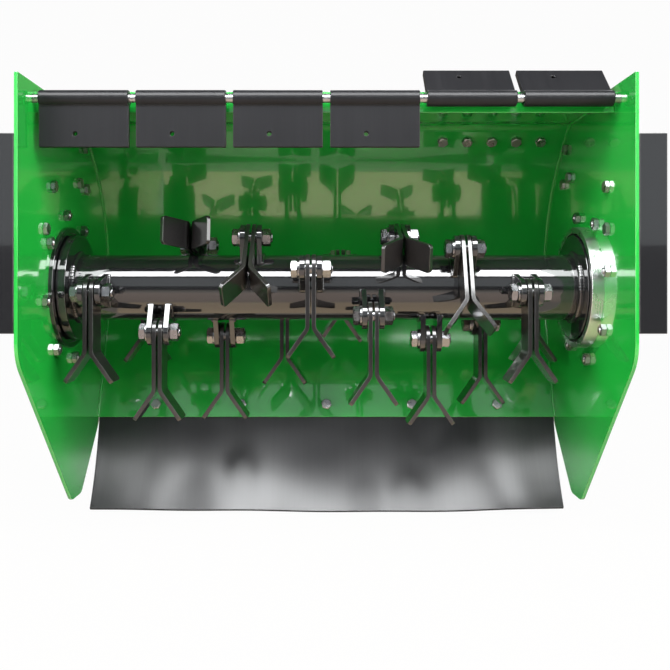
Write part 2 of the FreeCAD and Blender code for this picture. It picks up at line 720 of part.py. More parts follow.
def box_corners():
    """The four screw places on a gearbox side."""
    reach = "(dim.box_side / 2 - dim.corner_inset)"
    for one in ("-", "+"):
        for other in ("-", "+"):
            yield f"{BOX_Y} {one} {reach}", f"0 {other} {reach}"


# ---------------------------------------------------------------- bearing housings

def bearing_housing(side):
    """Guard ring inside the side plate, flange and hub outside it."""
    web_in = f"({HALF} - dim.web_inset)"
    ring_face = f"({HALF} - dim.{side}_ring)"
    body = fuse(
        cylinder("dim.ring_dia / 2", f"({OUTSIDE}) - ({ring_face})", ring_face),
        cylinder("dim.flange_dia / 2", "dim.flange_thick", OUTSIDE),
        cylinder("dim.hub_dia / 2", "dim.hub_high", OUTSIDE),
    )
    tools = [
        cylinder(
            "dim.ring_dia / 2 - dim.ring_wall", f"{web_in} - {ring_face} + dim.over_cut",
            f"{ring_face} - dim.over_cut",
        ),
        cylinder("dim.bearing_outer / 2", "dim.cut_width", BEARING_IN),
        cylinder("dim.bearing_outer / 2 - dim.race_lip", "dim.cut_width", f"{HALF} / 2"),
    ]
    housing = on_side(side, cut(body, *tools))
    return cut(housing, *(bore_x(y, z) for y, z in flange_bolt_places(side)))


def flange_bolts():
    """Heads outside on the flange, nuts inside on the side plate."""
    grip = "dim.flange_thick + dim.plate_wall"
    bolt = case_bolt(grip)
    start = f"({OUTSIDE} + dim.flange_thick)"
    right = [copy(bolt, start, y, z, TURNED_BACK) for y, z in flange_bolt_places("right")]
    left = [copy(bolt, f"-{start}", y, z) for y, z in flange_bolt_places("left")]
    return together(*right, *left)


def bearing_ring(inner, outer):
    """One ring with its half of the race; both radii are expressions."""
    race = doc.addObject("Part::Torus", "race")
    bind(
        race,
        Radius1=BALL_CIRCLE,
        Radius2="dim.ball_dia / 2 + dim.ball_play",
    )
    put(race, f"{BEARING_IN} + dim.bearing_width / 2", turn=ALONG_X)
    wall = cylinder(outer, "dim.bearing_width", BEARING_IN)
    hole = cylinder(inner, "dim.bearing_width + 2 * dim.over_cut", f"{BEARING_IN} - dim.over_cut")
    ring = cut(wall, hole, race)
    return together(ring, mirror_x(ring))


def bearing_balls():
    balls = []
    for number in range(int(size("ball_count"))):
        ball = bind(doc.addObject("Part::Sphere", "ball"), Radius="dim.ball_dia / 2")
        angle = f"({number} * 360 / dim.ball_count)"
        x = f"{BEARING_IN} + dim.bearing_width / 2"
        balls.append(put(ball, x, f"{BALL_CIRCLE} * cos({angle})", f"{BALL_CIRCLE} * sin({angle})"))
    right = together(*balls)
    return together(right, mirror_x(right))


def bearing_caps():
    """The right cap lets the shaft through; the left one is closed."""
    end = f"{OUTSIDE} + dim.hub_high"
    start = f"({BEARING_IN} + dim.bearing_width)"
    lid = cylinder("dim.hub_dia / 2 - dim.cap_step", "dim.cap_thick", end)
    spigot = cylinder("dim.bearing_outer / 2", f"{end} - {start}", start)
    well_start = f"{start} - dim.over_cut"
    well = cylinder("dim.bearing_outer / 2 - dim.race_lip", f"{end} - ({well_start})", well_start)
    closed = cut(fuse(lid, spigot), well)
    through = cut(closed, cylinder("dim.pulley_seat / 2 + dim.cap_gap", "dim.cut_width", HALF))
    return together(through, mirror_x(closed))


# ---------------------------------------------------------------- rotor

def rotor_tube():
    length = f"2 * {DISC_IN}"
    wall = cylinder("dim.tube_dia / 2", length, f"-{DISC_IN}")
    inside = "dim.tube_dia / 2 - dim.tube_wall"
    return cut(wall, cylinder(inside, f"{length} + 2 * dim.over_cut", f"-{DISC_IN} - dim.over_cut"))


def rotor_journals():
    """End discs with their shafts; the right one reaches out to its pulley."""
    start = f"({DISC_IN} - dim.shaft_reach)"
    disc = cylinder("dim.disc_dia / 2", "dim.disc_thick", DISC_IN)
    spigot = cylinder("dim.shaft_dia / 2", f"{BEARING_IN} - {start}", start)
    seat = cylinder("dim.bearing_bore / 2", "dim.bearing_width", BEARING_IN)
    tail_start = f"({BEARING_IN} + dim.bearing_width)"
    tail = cylinder("dim.pulley_seat / 2", f"{PULLEY_IN} + dim.pulley_width - {tail_start}", tail_start)
    return together(fuse(disc, spigot, seat, tail), mirror_x(fuse(disc, spigot, seat)))


def wrap(angle):
    return (angle + 180) % 360 - 180


def lug_angle(station):
    """Up from the mouth's direction; a two-start helix of opposite pairs."""
    pair, second = divmod(station - 1, 2)
    return wrap(size("first_lug") - pair * 360 / size("helix_turns") + 180 * second)


def station_x(station):
    return f"({station} - ({STATIONS} + 1) / 2) * dim.station_pitch"


def ear():
    """An ear that points at the mouth, standing on the tube."""
    sketch = section_sketch("0")
    pivot, tip, foot = size("pivot_radius"), size("lug_tip"), size("lug_foot")
    root = size("tube_dia") / 2 - size("lug_root")
    reach = math.hypot(pivot - root, foot)
    tangent = math.degrees(math.atan2(foot, pivot - root)) + math.degrees(math.acos(tip / reach))
    centre = Vector(-pivot, 0, 0)
    touch_low, touch_high = (centre + heading(side * tangent) * tip for side in (-1, 1))
    sketch.addGeometry(Part.LineSegment(Vector(-root, -foot, 0), Vector(-root, foot, 0)))
    sketch.addGeometry(Part.LineSegment(Vector(-root, foot, 0), touch_high))
    arc = Part.Circle(centre, Vector(0, 0, 1), tip)
    sketch.addGeometry(Part.ArcOfCircle(arc, math.radians(tangent), math.radians(360 - tangent)))
    sketch.addGeometry(Part.LineSegment(touch_low, Vector(-root, -foot, 0)))
    pin_point(sketch, 0, 1, "-dim.tube_dia / 2 + dim.lug_root", "-dim.lug_foot")
    pin_point(sketch, 0, 2, "-dim.tube_dia / 2 + dim.lug_root", "dim.lug_foot")
    rule(sketch, "Coincident", 0, 2, 1, 1)
    rule(sketch, "Tangent", 1, 2, 2, 1)
    rule(sketch, "Tangent", 2, 2, 3, 1)
    rule(sketch, "Coincident", 3, 2, 0, 1)
    rule(sketch, "Radius", 2, tip, text="dim.lug_tip")
    pin_point(sketch, 2, 3, "-dim.pivot_radius", "0")
    tube = cylinder("dim.tube_dia / 2", "3 * dim.lug_thick", "-dim.lug_thick")
    hole = cylinder("dim.bolt_dia / 2", "3 * dim.lug_thick", "-dim.lug_thick", "-dim.pivot_radius")
    return cut(extrude(sketch, "dim.lug_thick"), tube, hole)


def rotor_lugs():
    one = ear()
    ears = []
    for station in range(1, STATIONS + 1):
        for x in ("dim.lug_space / 2", "-dim.lug_space / 2 - dim.lug_thick"):
            ears.append(copy(one, f"{station_x(station)} + {x}", turn=around_x(lug_angle(station))))
    return together(*ears)


def pivot_place(station):
    angle = lug_angle(station)
    return station_x(station), f"-dim.pivot_radius * cos({angle})", f"dim.pivot_radius * sin({angle})"


def flail_bolts():
    side = "(dim.lug_space / 2 + dim.lug_thick)"
    bolt = hex_bolt(
        "dim.bolt_dia", "dim.bolt_across", "dim.head_high", f"2 * {side}", "dim.nut_high", "dim.thread_end",
        "dim.washer_dia", "dim.washer_thick",
    )
    bolts = []
    for station in range(1, STATIONS + 1):
        x, y, z = pivot_place(station)
        bolts.append(copy(bolt, f"{x} - {side}", y, z, around_x(lug_angle(station) + BOLT_TURN * station)))
    return together(*bolts)


def blade():
    """The right-hand blade of a pair, hung from its bolt at the origin."""
    path = put(
        doc.addObject("Sketcher::SketchObject", "blade_run"), y="dim.blade_width", turn=FACING_BACK
    )
    radius = size("bend_radius") + size("blade_thick")
    angle = size("bend_angle")
    inner, start = size("blade_split") / 2, -size("bend_start")
    centre = Vector(inner + radius, start, 0)
    bend_end = centre + heading(180 + angle) * radius
    tip = bend_end + heading(angle - 90) * size("wing_length")
    path.addGeometry(Part.LineSegment(Vector(inner, size("blade_width"), 0), Vector(inner, start, 0)))
    arc = Part.Circle(centre, Vector(0, 0, 1), radius)
    path.addGeometry(Part.ArcOfCircle(arc, math.radians(180), math.radians(180 + angle)))
    path.addGeometry(Part.LineSegment(bend_end, tip))
    pin_point(path, 0, 1, "dim.blade_split / 2", "dim.blade_width")
    pin_point(path, 0, 2, "dim.blade_split / 2", "-dim.bend_start")
    rule(path, "Tangent", 0, 2, 1, 1)
    rule(path, "Tangent", 1, 2, 2, 1)
    rule(path, "Radius", 1, radius, text="dim.bend_radius + dim.blade_thick")
    rule(path, "Distance", 2, size("wing_length"), text="dim.wing_length")
    rule(path, "Angle", -1, 1, 2, 1, math.radians(angle - 90), text="dim.bend_angle - 90")
    bar = thicken(extrude(path, "2 * dim.blade_width", solid=False), "dim.blade_thick", "+")
    half = "dim.blade_width / 2"
    reach = "(dim.bend_start + 2 * dim.wing_length)"
    shank = block(f"-{reach}", reach, f"-{half}", half, f"-{reach}", "0")
    head = cylinder(half, f"2 * {reach}", f"-{reach}")
    hole = cylinder("dim.bolt_dia / 2 + dim.pin_clearance", f"2 * {reach}", f"-{reach}")
    plain = cut(common(bar, fuse(shank, head)), hole)
    doc.recompute()
    corners = [
        number
        for number, edge in enumerate(plain.Shape.Edges, start=1)
        if abs(edge.Length - size("blade_thick")) < 0.01 and edge.CenterOfMass.z < start
    ]
    if len(corners) != 2:
        raise RuntimeError("the blade's tip has lost its corners")
    rounded = doc.addObject("Part::Fillet", "blade")
    rounded.Base = plain
    rounded.Edges = [(number, size("blade_corner"), size("blade_corner")) for number in corners]
    return rounded


def rest_direction(station):
    """Which way a flail lies at rest, up from the mouth's direction.

    It hangs plumb unless the rotor tube is in the way. Then it lies on the tube, on the open
    side unless its lug points well to the back.
    """
    lug = lug_angle(station)
    reach = size("tube_dia") / 2 + size("blade_width") / 2 + size("rest_gap")
    most = 180 - math.degrees(math.asin(reach / size("pivot_radius")))
    fold = wrap(-90 - lug)
    if abs(fold) <= most:
        return -90
    if lug > 135:
        return lug + most
    return lug - most


def flails():
    one = blade()
    pair = together(one, mirror_x(one))
    for station in range(1, STATIONS + 1):
        x, y, z = pivot_place(station)
        hung = copy(pair, x, y, z, around_x(rest_direction(station) + 90))
        node(together(hung), f"flail_{station:02d}")


# ---------------------------------------------------------------- front flaps

def front_flap_rod():
    """Rod through both side plates, with a head and a washer outside each."""
    end = f"({OUTSIDE} + dim.rod_past)"
    rod = cylinder("dim.rod_dia / 2", f"2 * {end}", f"-{end}", "-dim.rod_ahead", ROD_Z)
    collar = cylinder("dim.rod_dia", "dim.rod_collar", OUTSIDE, "-dim.rod_ahead", ROD_Z)
    return fuse(rod, collar, mirror_x(collar))


def front_flap():
    """A rubber flap hung from the rod at the origin."""
    half = "dim.flap_width / 2"
    sheet = block(
        f"-{half}", half, "-dim.flap_thick / 2", "dim.flap_thick / 2", "-dim.flap_length", "0"
    )
    eye = cylinder("dim.flap_eye", "dim.flap_width", f"-{half}")
    bore = cylinder(
        "dim.rod_dia / 2 + dim.rod_clearance", "dim.flap_width + 2 * dim.over_cut", f"-{half} - dim.over_cut"
    )
    hole = cylinder(
        "dim.flap_hole / 2", "2 * dim.flap_thick", "-dim.flap_hole_side", "-dim.flap_thick",
        "-dim.flap_length + dim.flap_hole_up", ALONG_Y,
    )
    return cut(fuse(sheet, eye), bore, hole)


def folded_back():
    """How far a flap turns from hanging until it lies back on the roof's edge."""
    across = size("rod_ahead") - size("roof_front")
    up = size("rod_below_roof") + size("shell_wall")
    reach = size("flap_thick") / 2 + size("fold_gap")
    lean = math.degrees(math.acos(reach / math.hypot(across, up)) - math.atan2(up, across))
    return -180 - lean


def front_flaps():
    one = front_flap()
    for number in range(1, int(size("flap_count")) + 1):
        x = f"({number} - (dim.flap_count + 1) / 2) * dim.flap_space"
        angle = folded_back() if number in FLAPS_FOLDED_BACK else 0
        hung = copy(one, x, "-dim.rod_ahead", ROD_Z, Rotation(Vector(1, 0, 0), angle))
        node(together(hung), f"front_flap_{number}")


# ---------------------------------------------------------------- rear flap

def rear_flap_run():
    """The flap's inner face: up behind the rear panel, then bent towards the mouth."""
    sketch = section_sketch(f"-{HALF} + dim.side_gap")
    upward = heading(90 - size("rear_angle"))
    lean = size("rear_angle") + size("rear_flap_lean")
    away = heading(90 - lean)
    bend = size("rear_flap_bend")
    edge = Vector(*(worth(text) for text in on_rear_panel("0", "dim.shell_wall")), 0)
    top = edge + upward * size("rear_flap_overlap")
    centre = edge - heading(-size("rear_angle")) * bend
    turned = centre + heading(-lean) * bend
    low = turned - away * size("rear_flap_drop")
    sketch.addGeometry(Part.LineSegment(top, edge))
    arc = Part.Circle(centre, Vector(0, 0, 1), bend)
    sketch.addGeometry(Part.ArcOfCircle(arc, math.radians(-lean), math.radians(-size("rear_angle"))))
    sketch.addGeometry(Part.LineSegment(turned, low))
    pin_point(sketch, 0, 2, *on_rear_panel("0", "dim.shell_wall"))
    rule(sketch, "Tangent", 0, 2, 1, 2)
    rule(sketch, "Tangent", 1, 1, 2, 1)
    rule(sketch, "Radius", 1, bend, text="dim.rear_flap_bend")
    rule(sketch, "Distance", 0, size("rear_flap_overlap"), text="dim.rear_flap_overlap")
    rule(sketch, "Distance", 2, size("rear_flap_drop"), text="dim.rear_flap_drop")
    rule(sketch, "Angle", -1, 1, 0, 1, math.radians(-90 - size("rear_angle")), text="-90 - dim.rear_angle")
    rule(
        sketch, "Angle", -1, 1, 2, 1, math.radians(-90 - lean),
        text="-90 - dim.rear_angle - dim.rear_flap_lean",
    )
    return sketch


def rear_flap():
    run = extrude(rear_flap_run(), "dim.cut_width - 2 * dim.side_gap", solid=False)
    return cut(thicken(run, "dim.rear_flap_thick", "+"), *strip_bores())


def rear_flap_strip():
    low = "dim.strip_up - dim.strip_width / 2"
    near = "dim.shell_wall + dim.rear_flap_thick"
    far = f"{near} + dim.strip_thick"
    high = f"{low} + dim.strip_width"
    corners = [
        on_rear_panel(low, near), on_rear_panel(high, near), on_rear_panel(high, far), on_rear_panel(low, far)
    ]
    strip = plate(corners, f"-{HALF} + dim.strip_end", "dim.cut_width - 2 * dim.strip_end")
    return cut(strip, *strip_bores())


def rear_flap_bolts():
    """Heads inside on the shell, nuts outside on the strip."""
    y, z = on_rear_panel("dim.strip_up", "0")
    bolt = case_bolt("dim.shell_wall + dim.rear_flap_thick + dim.strip_thick")
    return together(*(copy(bolt, x, y, z, out_of_rear()) for x in strip_places()))


# ---------------------------------------------------------------- gearbox and cross drive

def gearbox_case():
    side, wall = "dim.box_side / 2", "dim.box_wall"
    outer = block(
        "-dim.box_half", "dim.box_half", f"{BOX_Y} - {side}", f"{BOX_Y} + {side}", f"-{side}", side
    )
    inner = block(
        f"-dim.box_half + {wall}", f"dim.box_half - {wall}", f"{BOX_Y} - {side} + {wall}",
        f"{BOX_Y} + {side} + dim.over_cut", f"-{side} + {wall}", f"{side} - {wall}",
    )
    cross = cylinder("dim.cross_dia / 2 + dim.shaft_play", "2 * dim.box_half", "0", BOX_Y)
    hole = "dim.input_neck / 2 + dim.shaft_play"
    spigot = cylinder(hole, "dim.box_side", "0", BOX_Y, "-dim.box_side", UPRIGHT)
    threads = []
    for y, z in box_corners():
        for x in ("-dim.box_half", f"dim.box_half - {wall}"):
            threads.append(cylinder("dim.small_bolt / 2", wall, x, y, z))
    return cut(cut(outer, inner), cross, spigot, *threads)


def gearbox_cover():
    side = "dim.box_side / 2"
    return block(
        "-dim.box_half", "dim.box_half", f"{BOX_Y} + {side}", f"{BOX_Y} + {side} + dim.cover_thick",
        f"-{side}", side,
    )


def cross_shaft_tube():
    start = "dim.box_half"
    length = f"{CASE_IN} - {start}"
    wall = cylinder("dim.cross_tube / 2", length, start, BOX_Y)
    inside = "dim.cross_tube / 2 - dim.cross_tube_wall"
    return cut(wall, cylinder(inside, f"{length} + 2 * dim.over_cut", f"{start} - dim.over_cut", BOX_Y))


def cross_shaft_bush():
    """Bearing bush in the far end of the cross shaft tube."""
    start = f"{CASE_IN} - dim.bush_length"
    ring = cylinder("dim.cross_tube / 2 - dim.cross_tube_wall", "dim.bush_length", start, BOX_Y)
    hole = "dim.cross_dia / 2 + dim.shaft_play"
    length = "dim.bush_length + 2 * dim.over_cut"
    return cut(ring, cylinder(hole, length, f"{start} - dim.over_cut", BOX_Y))


GEAR_NEAR = "(0.8 * dim.gear_radius)"  # both shafts stop short of the point where their axes meet


def cross_shaft():
    return cylinder("dim.cross_dia / 2", f"{PULLEY_IN} + dim.pulley_width - {GEAR_NEAR}", GEAR_NEAR, BOX_Y)


def mitre_gear(shaft_radius):
    """A straight-toothed mitre gear whose cone's apex is the origin and whose axis is +X."""
    ratio = "((dim.gear_radius * sqrt(2) - dim.gear_face) / (dim.gear_radius * sqrt(2)))"
    root = "(dim.gear_radius - dim.tooth_root / sqrt(2))"
    face = "(dim.gear_radius + dim.tooth_root / sqrt(2))"
    blank = doc.addObject("Part::Cone", "gear_blank")
    bind(blank, Radius1=f"{root} * {ratio}", Radius2=root, Height=f"{face} * (1 - {ratio})")
    put(blank, f"{face} * {ratio}", turn=ALONG_X)
    hub = cylinder(root, "dim.gear_hub", face)
    tooth = doc.addObject("Part::Wedge", "tooth")
    slant = "(dim.gear_radius * sqrt(2))"
    high = "(dim.tooth_tip + dim.tooth_root)"
    bind(
        tooth, Xmin="-dim.tooth_thick / 2", Xmax="dim.tooth_thick / 2", Ymin="0", Ymax="dim.gear_face",
        Zmin="0", Zmax=high, X2min=f"-dim.tooth_thick / 2 * {ratio}", X2max=f"dim.tooth_thick / 2 * {ratio}",
        Z2min=f"dim.tooth_root * (1 - {ratio})", Z2max=f"dim.tooth_root * (1 - {ratio}) + {high} * {ratio}",
    )
    # The wedge runs down the pitch cone, from the outer end towards the apex.
    inward, out = Vector(-1, -1, 0), Vector(-1, 1, 0)
    put(
        tooth, f"({slant} + dim.tooth_root) / sqrt(2)", f"({slant} - dim.tooth_root) / sqrt(2)", "0",
        Rotation(Vector(), inward, out, "ZYX"),
    )
    teeth = [
        copy(tooth, turn=Rotation(Vector(1, 0, 0), number * 360 / size("gear_teeth")))
        for number in range(int(size("gear_teeth")))
    ]
    shaft = cylinder(shaft_radius, "3 * dim.gear_radius")
    return cut(fuse(blank, hub, *teeth), shaft)


def input_shaft():
    """The input shaft has a shoulder at the gearbox and carries its own gear."""
    side = "dim.box_side / 2"
    shaft = cylinder(
        "dim.input_dia / 2", "dim.input_reach", "0", BOX_Y, f"-{side} - dim.input_reach", UPRIGHT
    )
    neck = cylinder("dim.input_neck / 2", f"{side} - {GEAR_NEAR}", "0", BOX_Y, f"-{side}", UPRIGHT)
    half_tooth = Rotation(Vector(0, 0, 1), 180 / size("gear_teeth"))
    gear = put(mitre_gear("dim.input_neck / 2"), "0", BOX_Y, "0", half_tooth.multiply(pointing(-90)))
    return fuse(shaft, neck, gear)


# ---------------------------------------------------------------- belt drive

LEAN_COS = "((dim.driven_radius - dim.drive_radius) / dim.drive_back)"
LEAN_SIN = f"sqrt(1 - {LEAN_COS} ^ 2)"


def belt_loop(grow, x):
    """The outline round both pulleys, at a distance outside the belts' pitch line."""
    sketch = section_sketch(x)
    near, far = size("driven_radius") + worth(grow), size("drive_radius") + worth(grow)
    span = size("drive_back")
    lean = math.degrees(math.acos((near - far) / span))
    centre, axis = Vector(span, 0, 0), Vector(0, 0, 1)
    sketch.addGeometry(
        Part.ArcOfCircle(Part.Circle(Vector(), axis, near), math.radians(lean), math.radians(360 - lean))
    )
    sketch.addGeometry(Part.LineSegment(heading(-lean) * near, centre + heading(-lean) * far))
    sketch.addGeometry(
        Part.ArcOfCircle(Part.Circle(centre, axis, far), math.radians(-lean), math.radians(lean))
    )
    sketch.addGeometry(Part.LineSegment(centre + heading(lean) * far, heading(lean) * near))
    rule(sketch, "Coincident", 0, 3, -1, 1)
    pin_point(sketch, 2, 3, "dim.drive_back", "0")
    rule(sketch, "Radius", 0, near, text=f"dim.driven_radius + {grow}")
    rule(sketch, "Radius", 2, far, text=f"dim.drive_radius + {grow}")
    for first, first_end, second, second_end in ((0, 2, 1, 1), (1, 2, 2, 1), (2, 2, 3, 1), (3, 2, 0, 1)):
        rule(sketch, "Tangent", first, first_end, second, second_end)
    return sketch


def loop_solid(grow, x, length):
    return extrude(belt_loop(grow, x), length)


def belt_middles():
    middle = f"({PULLEY_IN} + dim.pulley_width / 2)"
    return [f"({middle} - dim.belt_space / 2)", f"({middle} + dim.belt_space / 2)"]


def v_belts():
    belts = []
    for middle in belt_middles():
        start = f"{middle} - dim.belt_wide / 2"
        outer = loop_solid("dim.belt_high / 2", start, "dim.belt_wide")
        inner = loop_solid(
            "-dim.belt_high / 2", f"{start} - dim.over_cut", "dim.belt_wide + 2 * dim.over_cut"
        )
        belts.append(cut(outer, inner))
    return together(*belts)


def pulley(radius, shaft_radius, y):
    """A pulley with one groove for each belt."""
    rim = f"{radius} + dim.belt_high / 2"
    floor = f"{radius} - dim.belt_high / 2 - dim.belt_gap"
    grooves = []
    for middle in belt_middles():
        wide = "(dim.belt_wide + 2 * dim.belt_gap)"
        start = f"{middle} - {wide} / 2"
        core = cylinder(floor, f"{wide} + 2 * dim.over_cut", f"{start} - dim.over_cut", y)
        grooves.append(cut(cylinder(f"{rim} + dim.over_cut", wide, start, y), core))
    blank = cylinder(rim, "dim.pulley_width", PULLEY_IN, y)
    hole = cylinder(shaft_radius, "2 * dim.pulley_width", f"{PULLEY_IN} - dim.over_cut", y)
    return cut(blank, hole, *grooves)


IDLER_Z = (
    "((dim.driven_radius - dim.belt_high / 2 - dim.belt_gap - dim.idler_radius"
    f" - {LEAN_COS} * dim.idler_back) / {LEAN_SIN})"
)


def idler_pulley():
    wheel = cylinder("dim.idler_radius", "dim.pulley_width", PULLEY_IN, "dim.idler_back", IDLER_Z)
    hole = "dim.idler_pin / 2 + dim.shaft_play"
    start = f"{PULLEY_IN} - dim.over_cut"
    return cut(wheel, cylinder(hole, "2 * dim.pulley_width", start, "dim.idler_back", IDLER_Z))


def idler_bracket():
    """Arm flat on the belt case, with the idler's pin."""
    place = ("dim.idler_back", IDLER_Z)
    pin_length = "dim.pulley_inset + dim.pulley_width + dim.idler_pin_past"
    pin = cylinder("dim.idler_pin / 2", pin_length, CASE_FACE, *place)
    shoulder = cylinder("dim.idler_pin", "dim.pulley_inset - dim.idler_gap", CASE_FACE, *place)
    near, far = "dim.idler_back - dim.arm_half", "dim.idler_back + dim.arm_half"
    arm = block(CASE_FACE, f"{CASE_FACE} + dim.arm_thick", near, far, f"{IDLER_Z} - dim.arm_drop", IDLER_Z)
    return fuse(pin, shoulder, arm)


def belt_backplate():
    """Sheet behind the belts, on three feet that stand on the bearing flange."""
    sheet = loop_solid("dim.case_clear + dim.case_rim", CASE_IN, "dim.case_wall")
    foot_start = f"{OUTSIDE} + dim.flange_thick"
    feet = []
    out = "(dim.hub_dia / 2 + dim.case_foot_out)"
    for angle in CASE_FEET:
        y, z = f"{out} * cos({angle})", f"{out} * sin({angle})"
        feet.append(cylinder("dim.case_foot", f"{CASE_IN} - ({foot_start})", foot_start, y, z))
    hub = cylinder("dim.hub_dia / 2 + dim.case_hole_gap", "dim.cut_width", HALF)
    shaft = cylinder("dim.cross_dia / 2 + dim.case_hole_gap", "dim.cut_width", HALF, BOX_Y)
    return cut(fuse(sheet, *feet), hub, shaft, *cover_bores())


def belt_cover():
    rim = loop_solid("dim.case_clear + dim.case_rim", CASE_FACE, "dim.case_wall")
    box = loop_solid("dim.case_clear", CASE_FACE, "dim.case_depth")
    inside = loop_solid(
        "dim.case_clear - dim.case_wall", f"{CASE_FACE} - dim.over_cut",
        "dim.case_depth + dim.over_cut - dim.case_wall",
    )
    return cut(cut(fuse(rim, box), inside), *cover_bores())


def cover_places():
    """Screw places on the rim: round both ends and half way along each side."""
    reach = "dim.case_clear + dim.case_rim / 2"
    for angle in DRIVEN_END_SCREWS:
        radius = f"(dim.driven_radius + {reach})"
        yield f"{radius} * cos({angle})", f"{radius} * sin({angle})"
    for angle in DRIVE_END_SCREWS:
        radius = f"(dim.drive_radius + {reach})"
        yield f"dim.drive_back + {radius} * cos({angle})", f"{radius} * sin({angle})"
    for side in ("", "-"):
        lift = f"(dim.driven_radius + {reach} - {LEAN_COS} * dim.drive_back / 2) / {LEAN_SIN}"
        yield "dim.drive_back / 2", f"{side}{lift}"


def cover_bores():
    return [cylinder("dim.cover_screw / 2", "dim.cut_width", HALF, y, z) for y, z in cover_places()]


def belt_cover_bolts():
    head = hexagon("dim.cover_screw_across", "dim.cover_screw_head", "-dim.cover_screw_head")
    screw = fuse(head, cylinder("dim.cover_screw / 2", "2 * dim.case_wall"))
    start = f"{CASE_FACE} + dim.case_wall"
    return together(*(copy(screw, start, y, z, TURNED_BACK) for y, z in cover_places()))


# ---------------------------------------------------------------- build

fill_sheet()

node(housing_shell(), "housing_shell")
side_plates()
node(front_rail(), "front_rail")
node(together(upper_bracket(), *(lifting_plate(side) for side in SIDES)), "outer_brackets")
node(together(*(side_skid(side) for side in SIDES)), "side_skids")
node(case_bolts(), "case_bolts")
node(hitch_cheeks(), "hitch_cheeks")

for side in SIDES:
    node(bearing_housing(side), f"{side}_bearing_housing")
node(flange_bolts(), "flange_bolts")
node(bearing_ring("dim.bearing_bore / 2", f"{BALL_CIRCLE} - dim.ring_half"), "bearing_inner_rings")
node(bearing_ring(f"{BALL_CIRCLE} + dim.ring_half", "dim.bearing_outer / 2"), "bearing_outer_rings")
node(bearing_balls(), "bearing_balls")
node(bearing_caps(), "bearing_caps")

node(rotor_tube(), "rotor_tube")
node(rotor_journals(), "rotor_journals")
node(rotor_lugs(), "rotor_lugs")
node(flail_bolts(), "flail_bolts")
flails()

node(front_flap_rod(), "front_flap_rod")
front_flaps()
node(rear_flap(), "rear_flap")
node(rear_flap_strip(), "rear_flap_strip")
node(rear_flap_bolts(), "rear_flap_bolts")

node(gearbox_case(), "gearbox_case")
node(together(gearbox_cover()), "gearbox_cover")
node(cross_shaft_tube(), "cross_shaft_tube")
node(cross_shaft_bush(), "cross_shaft_bush")
node(together(cross_shaft()), "cross_shaft")
node(together(put(mitre_gear("dim.cross_dia / 2"), "0", BOX_Y)), "cross_gear")
node(input_shaft(), "input_shaft")

node(v_belts(), "v_belts")
node(pulley("dim.driven_radius", "dim.pulley_seat / 2", "0"), "driven_pulley")
node(pulley("dim.drive_radius", "dim.cross_dia / 2", BOX_Y), "drive_pulley")
node(idler_pulley(), "idler_pulley")
node(idler_bracket(), "idler_bracket")
node(belt_backplate(), "belt_backplate")
node(belt_cover(), "belt_cover")
node(belt_cover_bolts(), "belt_cover_bolts")

doc.recompute()
for item in doc.Objects:
    if {"Invalid", "Error"} & set(item.State):
        raise RuntimeError(f"{item.Name} ({item.Label}) failed: {item.State}")
for item in nodes:
    if item.Shape.isNull() or not item.Shape.isValid() or not item.Shape.Solids:
        raise RuntimeError(f"{item.Label} has no valid shape")

os.makedirs("parts", exist_ok=True)
for item in nodes:
    item.Shape.exportStep(f"parts/{item.Label}.step")
print(len(nodes), "sub-parts")
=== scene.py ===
import json
import math

import bmesh
import bpy
import numpy as np
from mathutils import Matrix, Vector

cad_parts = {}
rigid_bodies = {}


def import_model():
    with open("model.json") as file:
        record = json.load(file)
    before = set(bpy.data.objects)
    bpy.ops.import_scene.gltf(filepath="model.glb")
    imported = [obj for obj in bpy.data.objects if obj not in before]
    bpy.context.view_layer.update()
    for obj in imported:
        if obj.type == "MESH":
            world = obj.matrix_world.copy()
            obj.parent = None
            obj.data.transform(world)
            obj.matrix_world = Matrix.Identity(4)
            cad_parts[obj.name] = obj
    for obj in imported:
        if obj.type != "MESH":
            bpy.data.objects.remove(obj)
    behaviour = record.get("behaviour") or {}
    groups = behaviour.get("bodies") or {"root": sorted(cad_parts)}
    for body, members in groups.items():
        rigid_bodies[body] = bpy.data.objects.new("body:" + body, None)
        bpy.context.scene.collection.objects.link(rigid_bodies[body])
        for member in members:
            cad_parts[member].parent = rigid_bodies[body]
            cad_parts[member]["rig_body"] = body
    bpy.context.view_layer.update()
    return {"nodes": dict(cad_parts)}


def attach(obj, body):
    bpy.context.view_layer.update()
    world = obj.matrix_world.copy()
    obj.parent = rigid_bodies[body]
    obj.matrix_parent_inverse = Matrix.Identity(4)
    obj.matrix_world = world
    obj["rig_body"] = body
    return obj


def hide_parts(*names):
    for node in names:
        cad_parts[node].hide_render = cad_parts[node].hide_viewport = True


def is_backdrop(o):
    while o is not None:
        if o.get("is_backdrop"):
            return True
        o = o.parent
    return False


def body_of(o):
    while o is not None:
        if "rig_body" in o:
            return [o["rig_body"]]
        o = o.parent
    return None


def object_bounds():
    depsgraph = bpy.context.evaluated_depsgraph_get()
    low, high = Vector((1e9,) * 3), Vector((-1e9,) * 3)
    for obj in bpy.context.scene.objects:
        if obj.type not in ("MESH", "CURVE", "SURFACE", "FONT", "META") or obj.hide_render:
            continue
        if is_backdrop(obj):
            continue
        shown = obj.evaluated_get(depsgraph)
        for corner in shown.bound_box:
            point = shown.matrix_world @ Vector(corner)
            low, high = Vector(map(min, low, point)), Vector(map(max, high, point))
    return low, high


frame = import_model()

bl_info = {
    "name": "Flail Mower Deck",
    "version": (1, 0, 0),
    "blender": (4, 5, 0),
    "location": "3D View > Sidebar > Flail Deck",
    "description": "Sheet metal, rotor, flails, flaps, fasteners and finishes of a flail deck",
    "category": "Object",
}

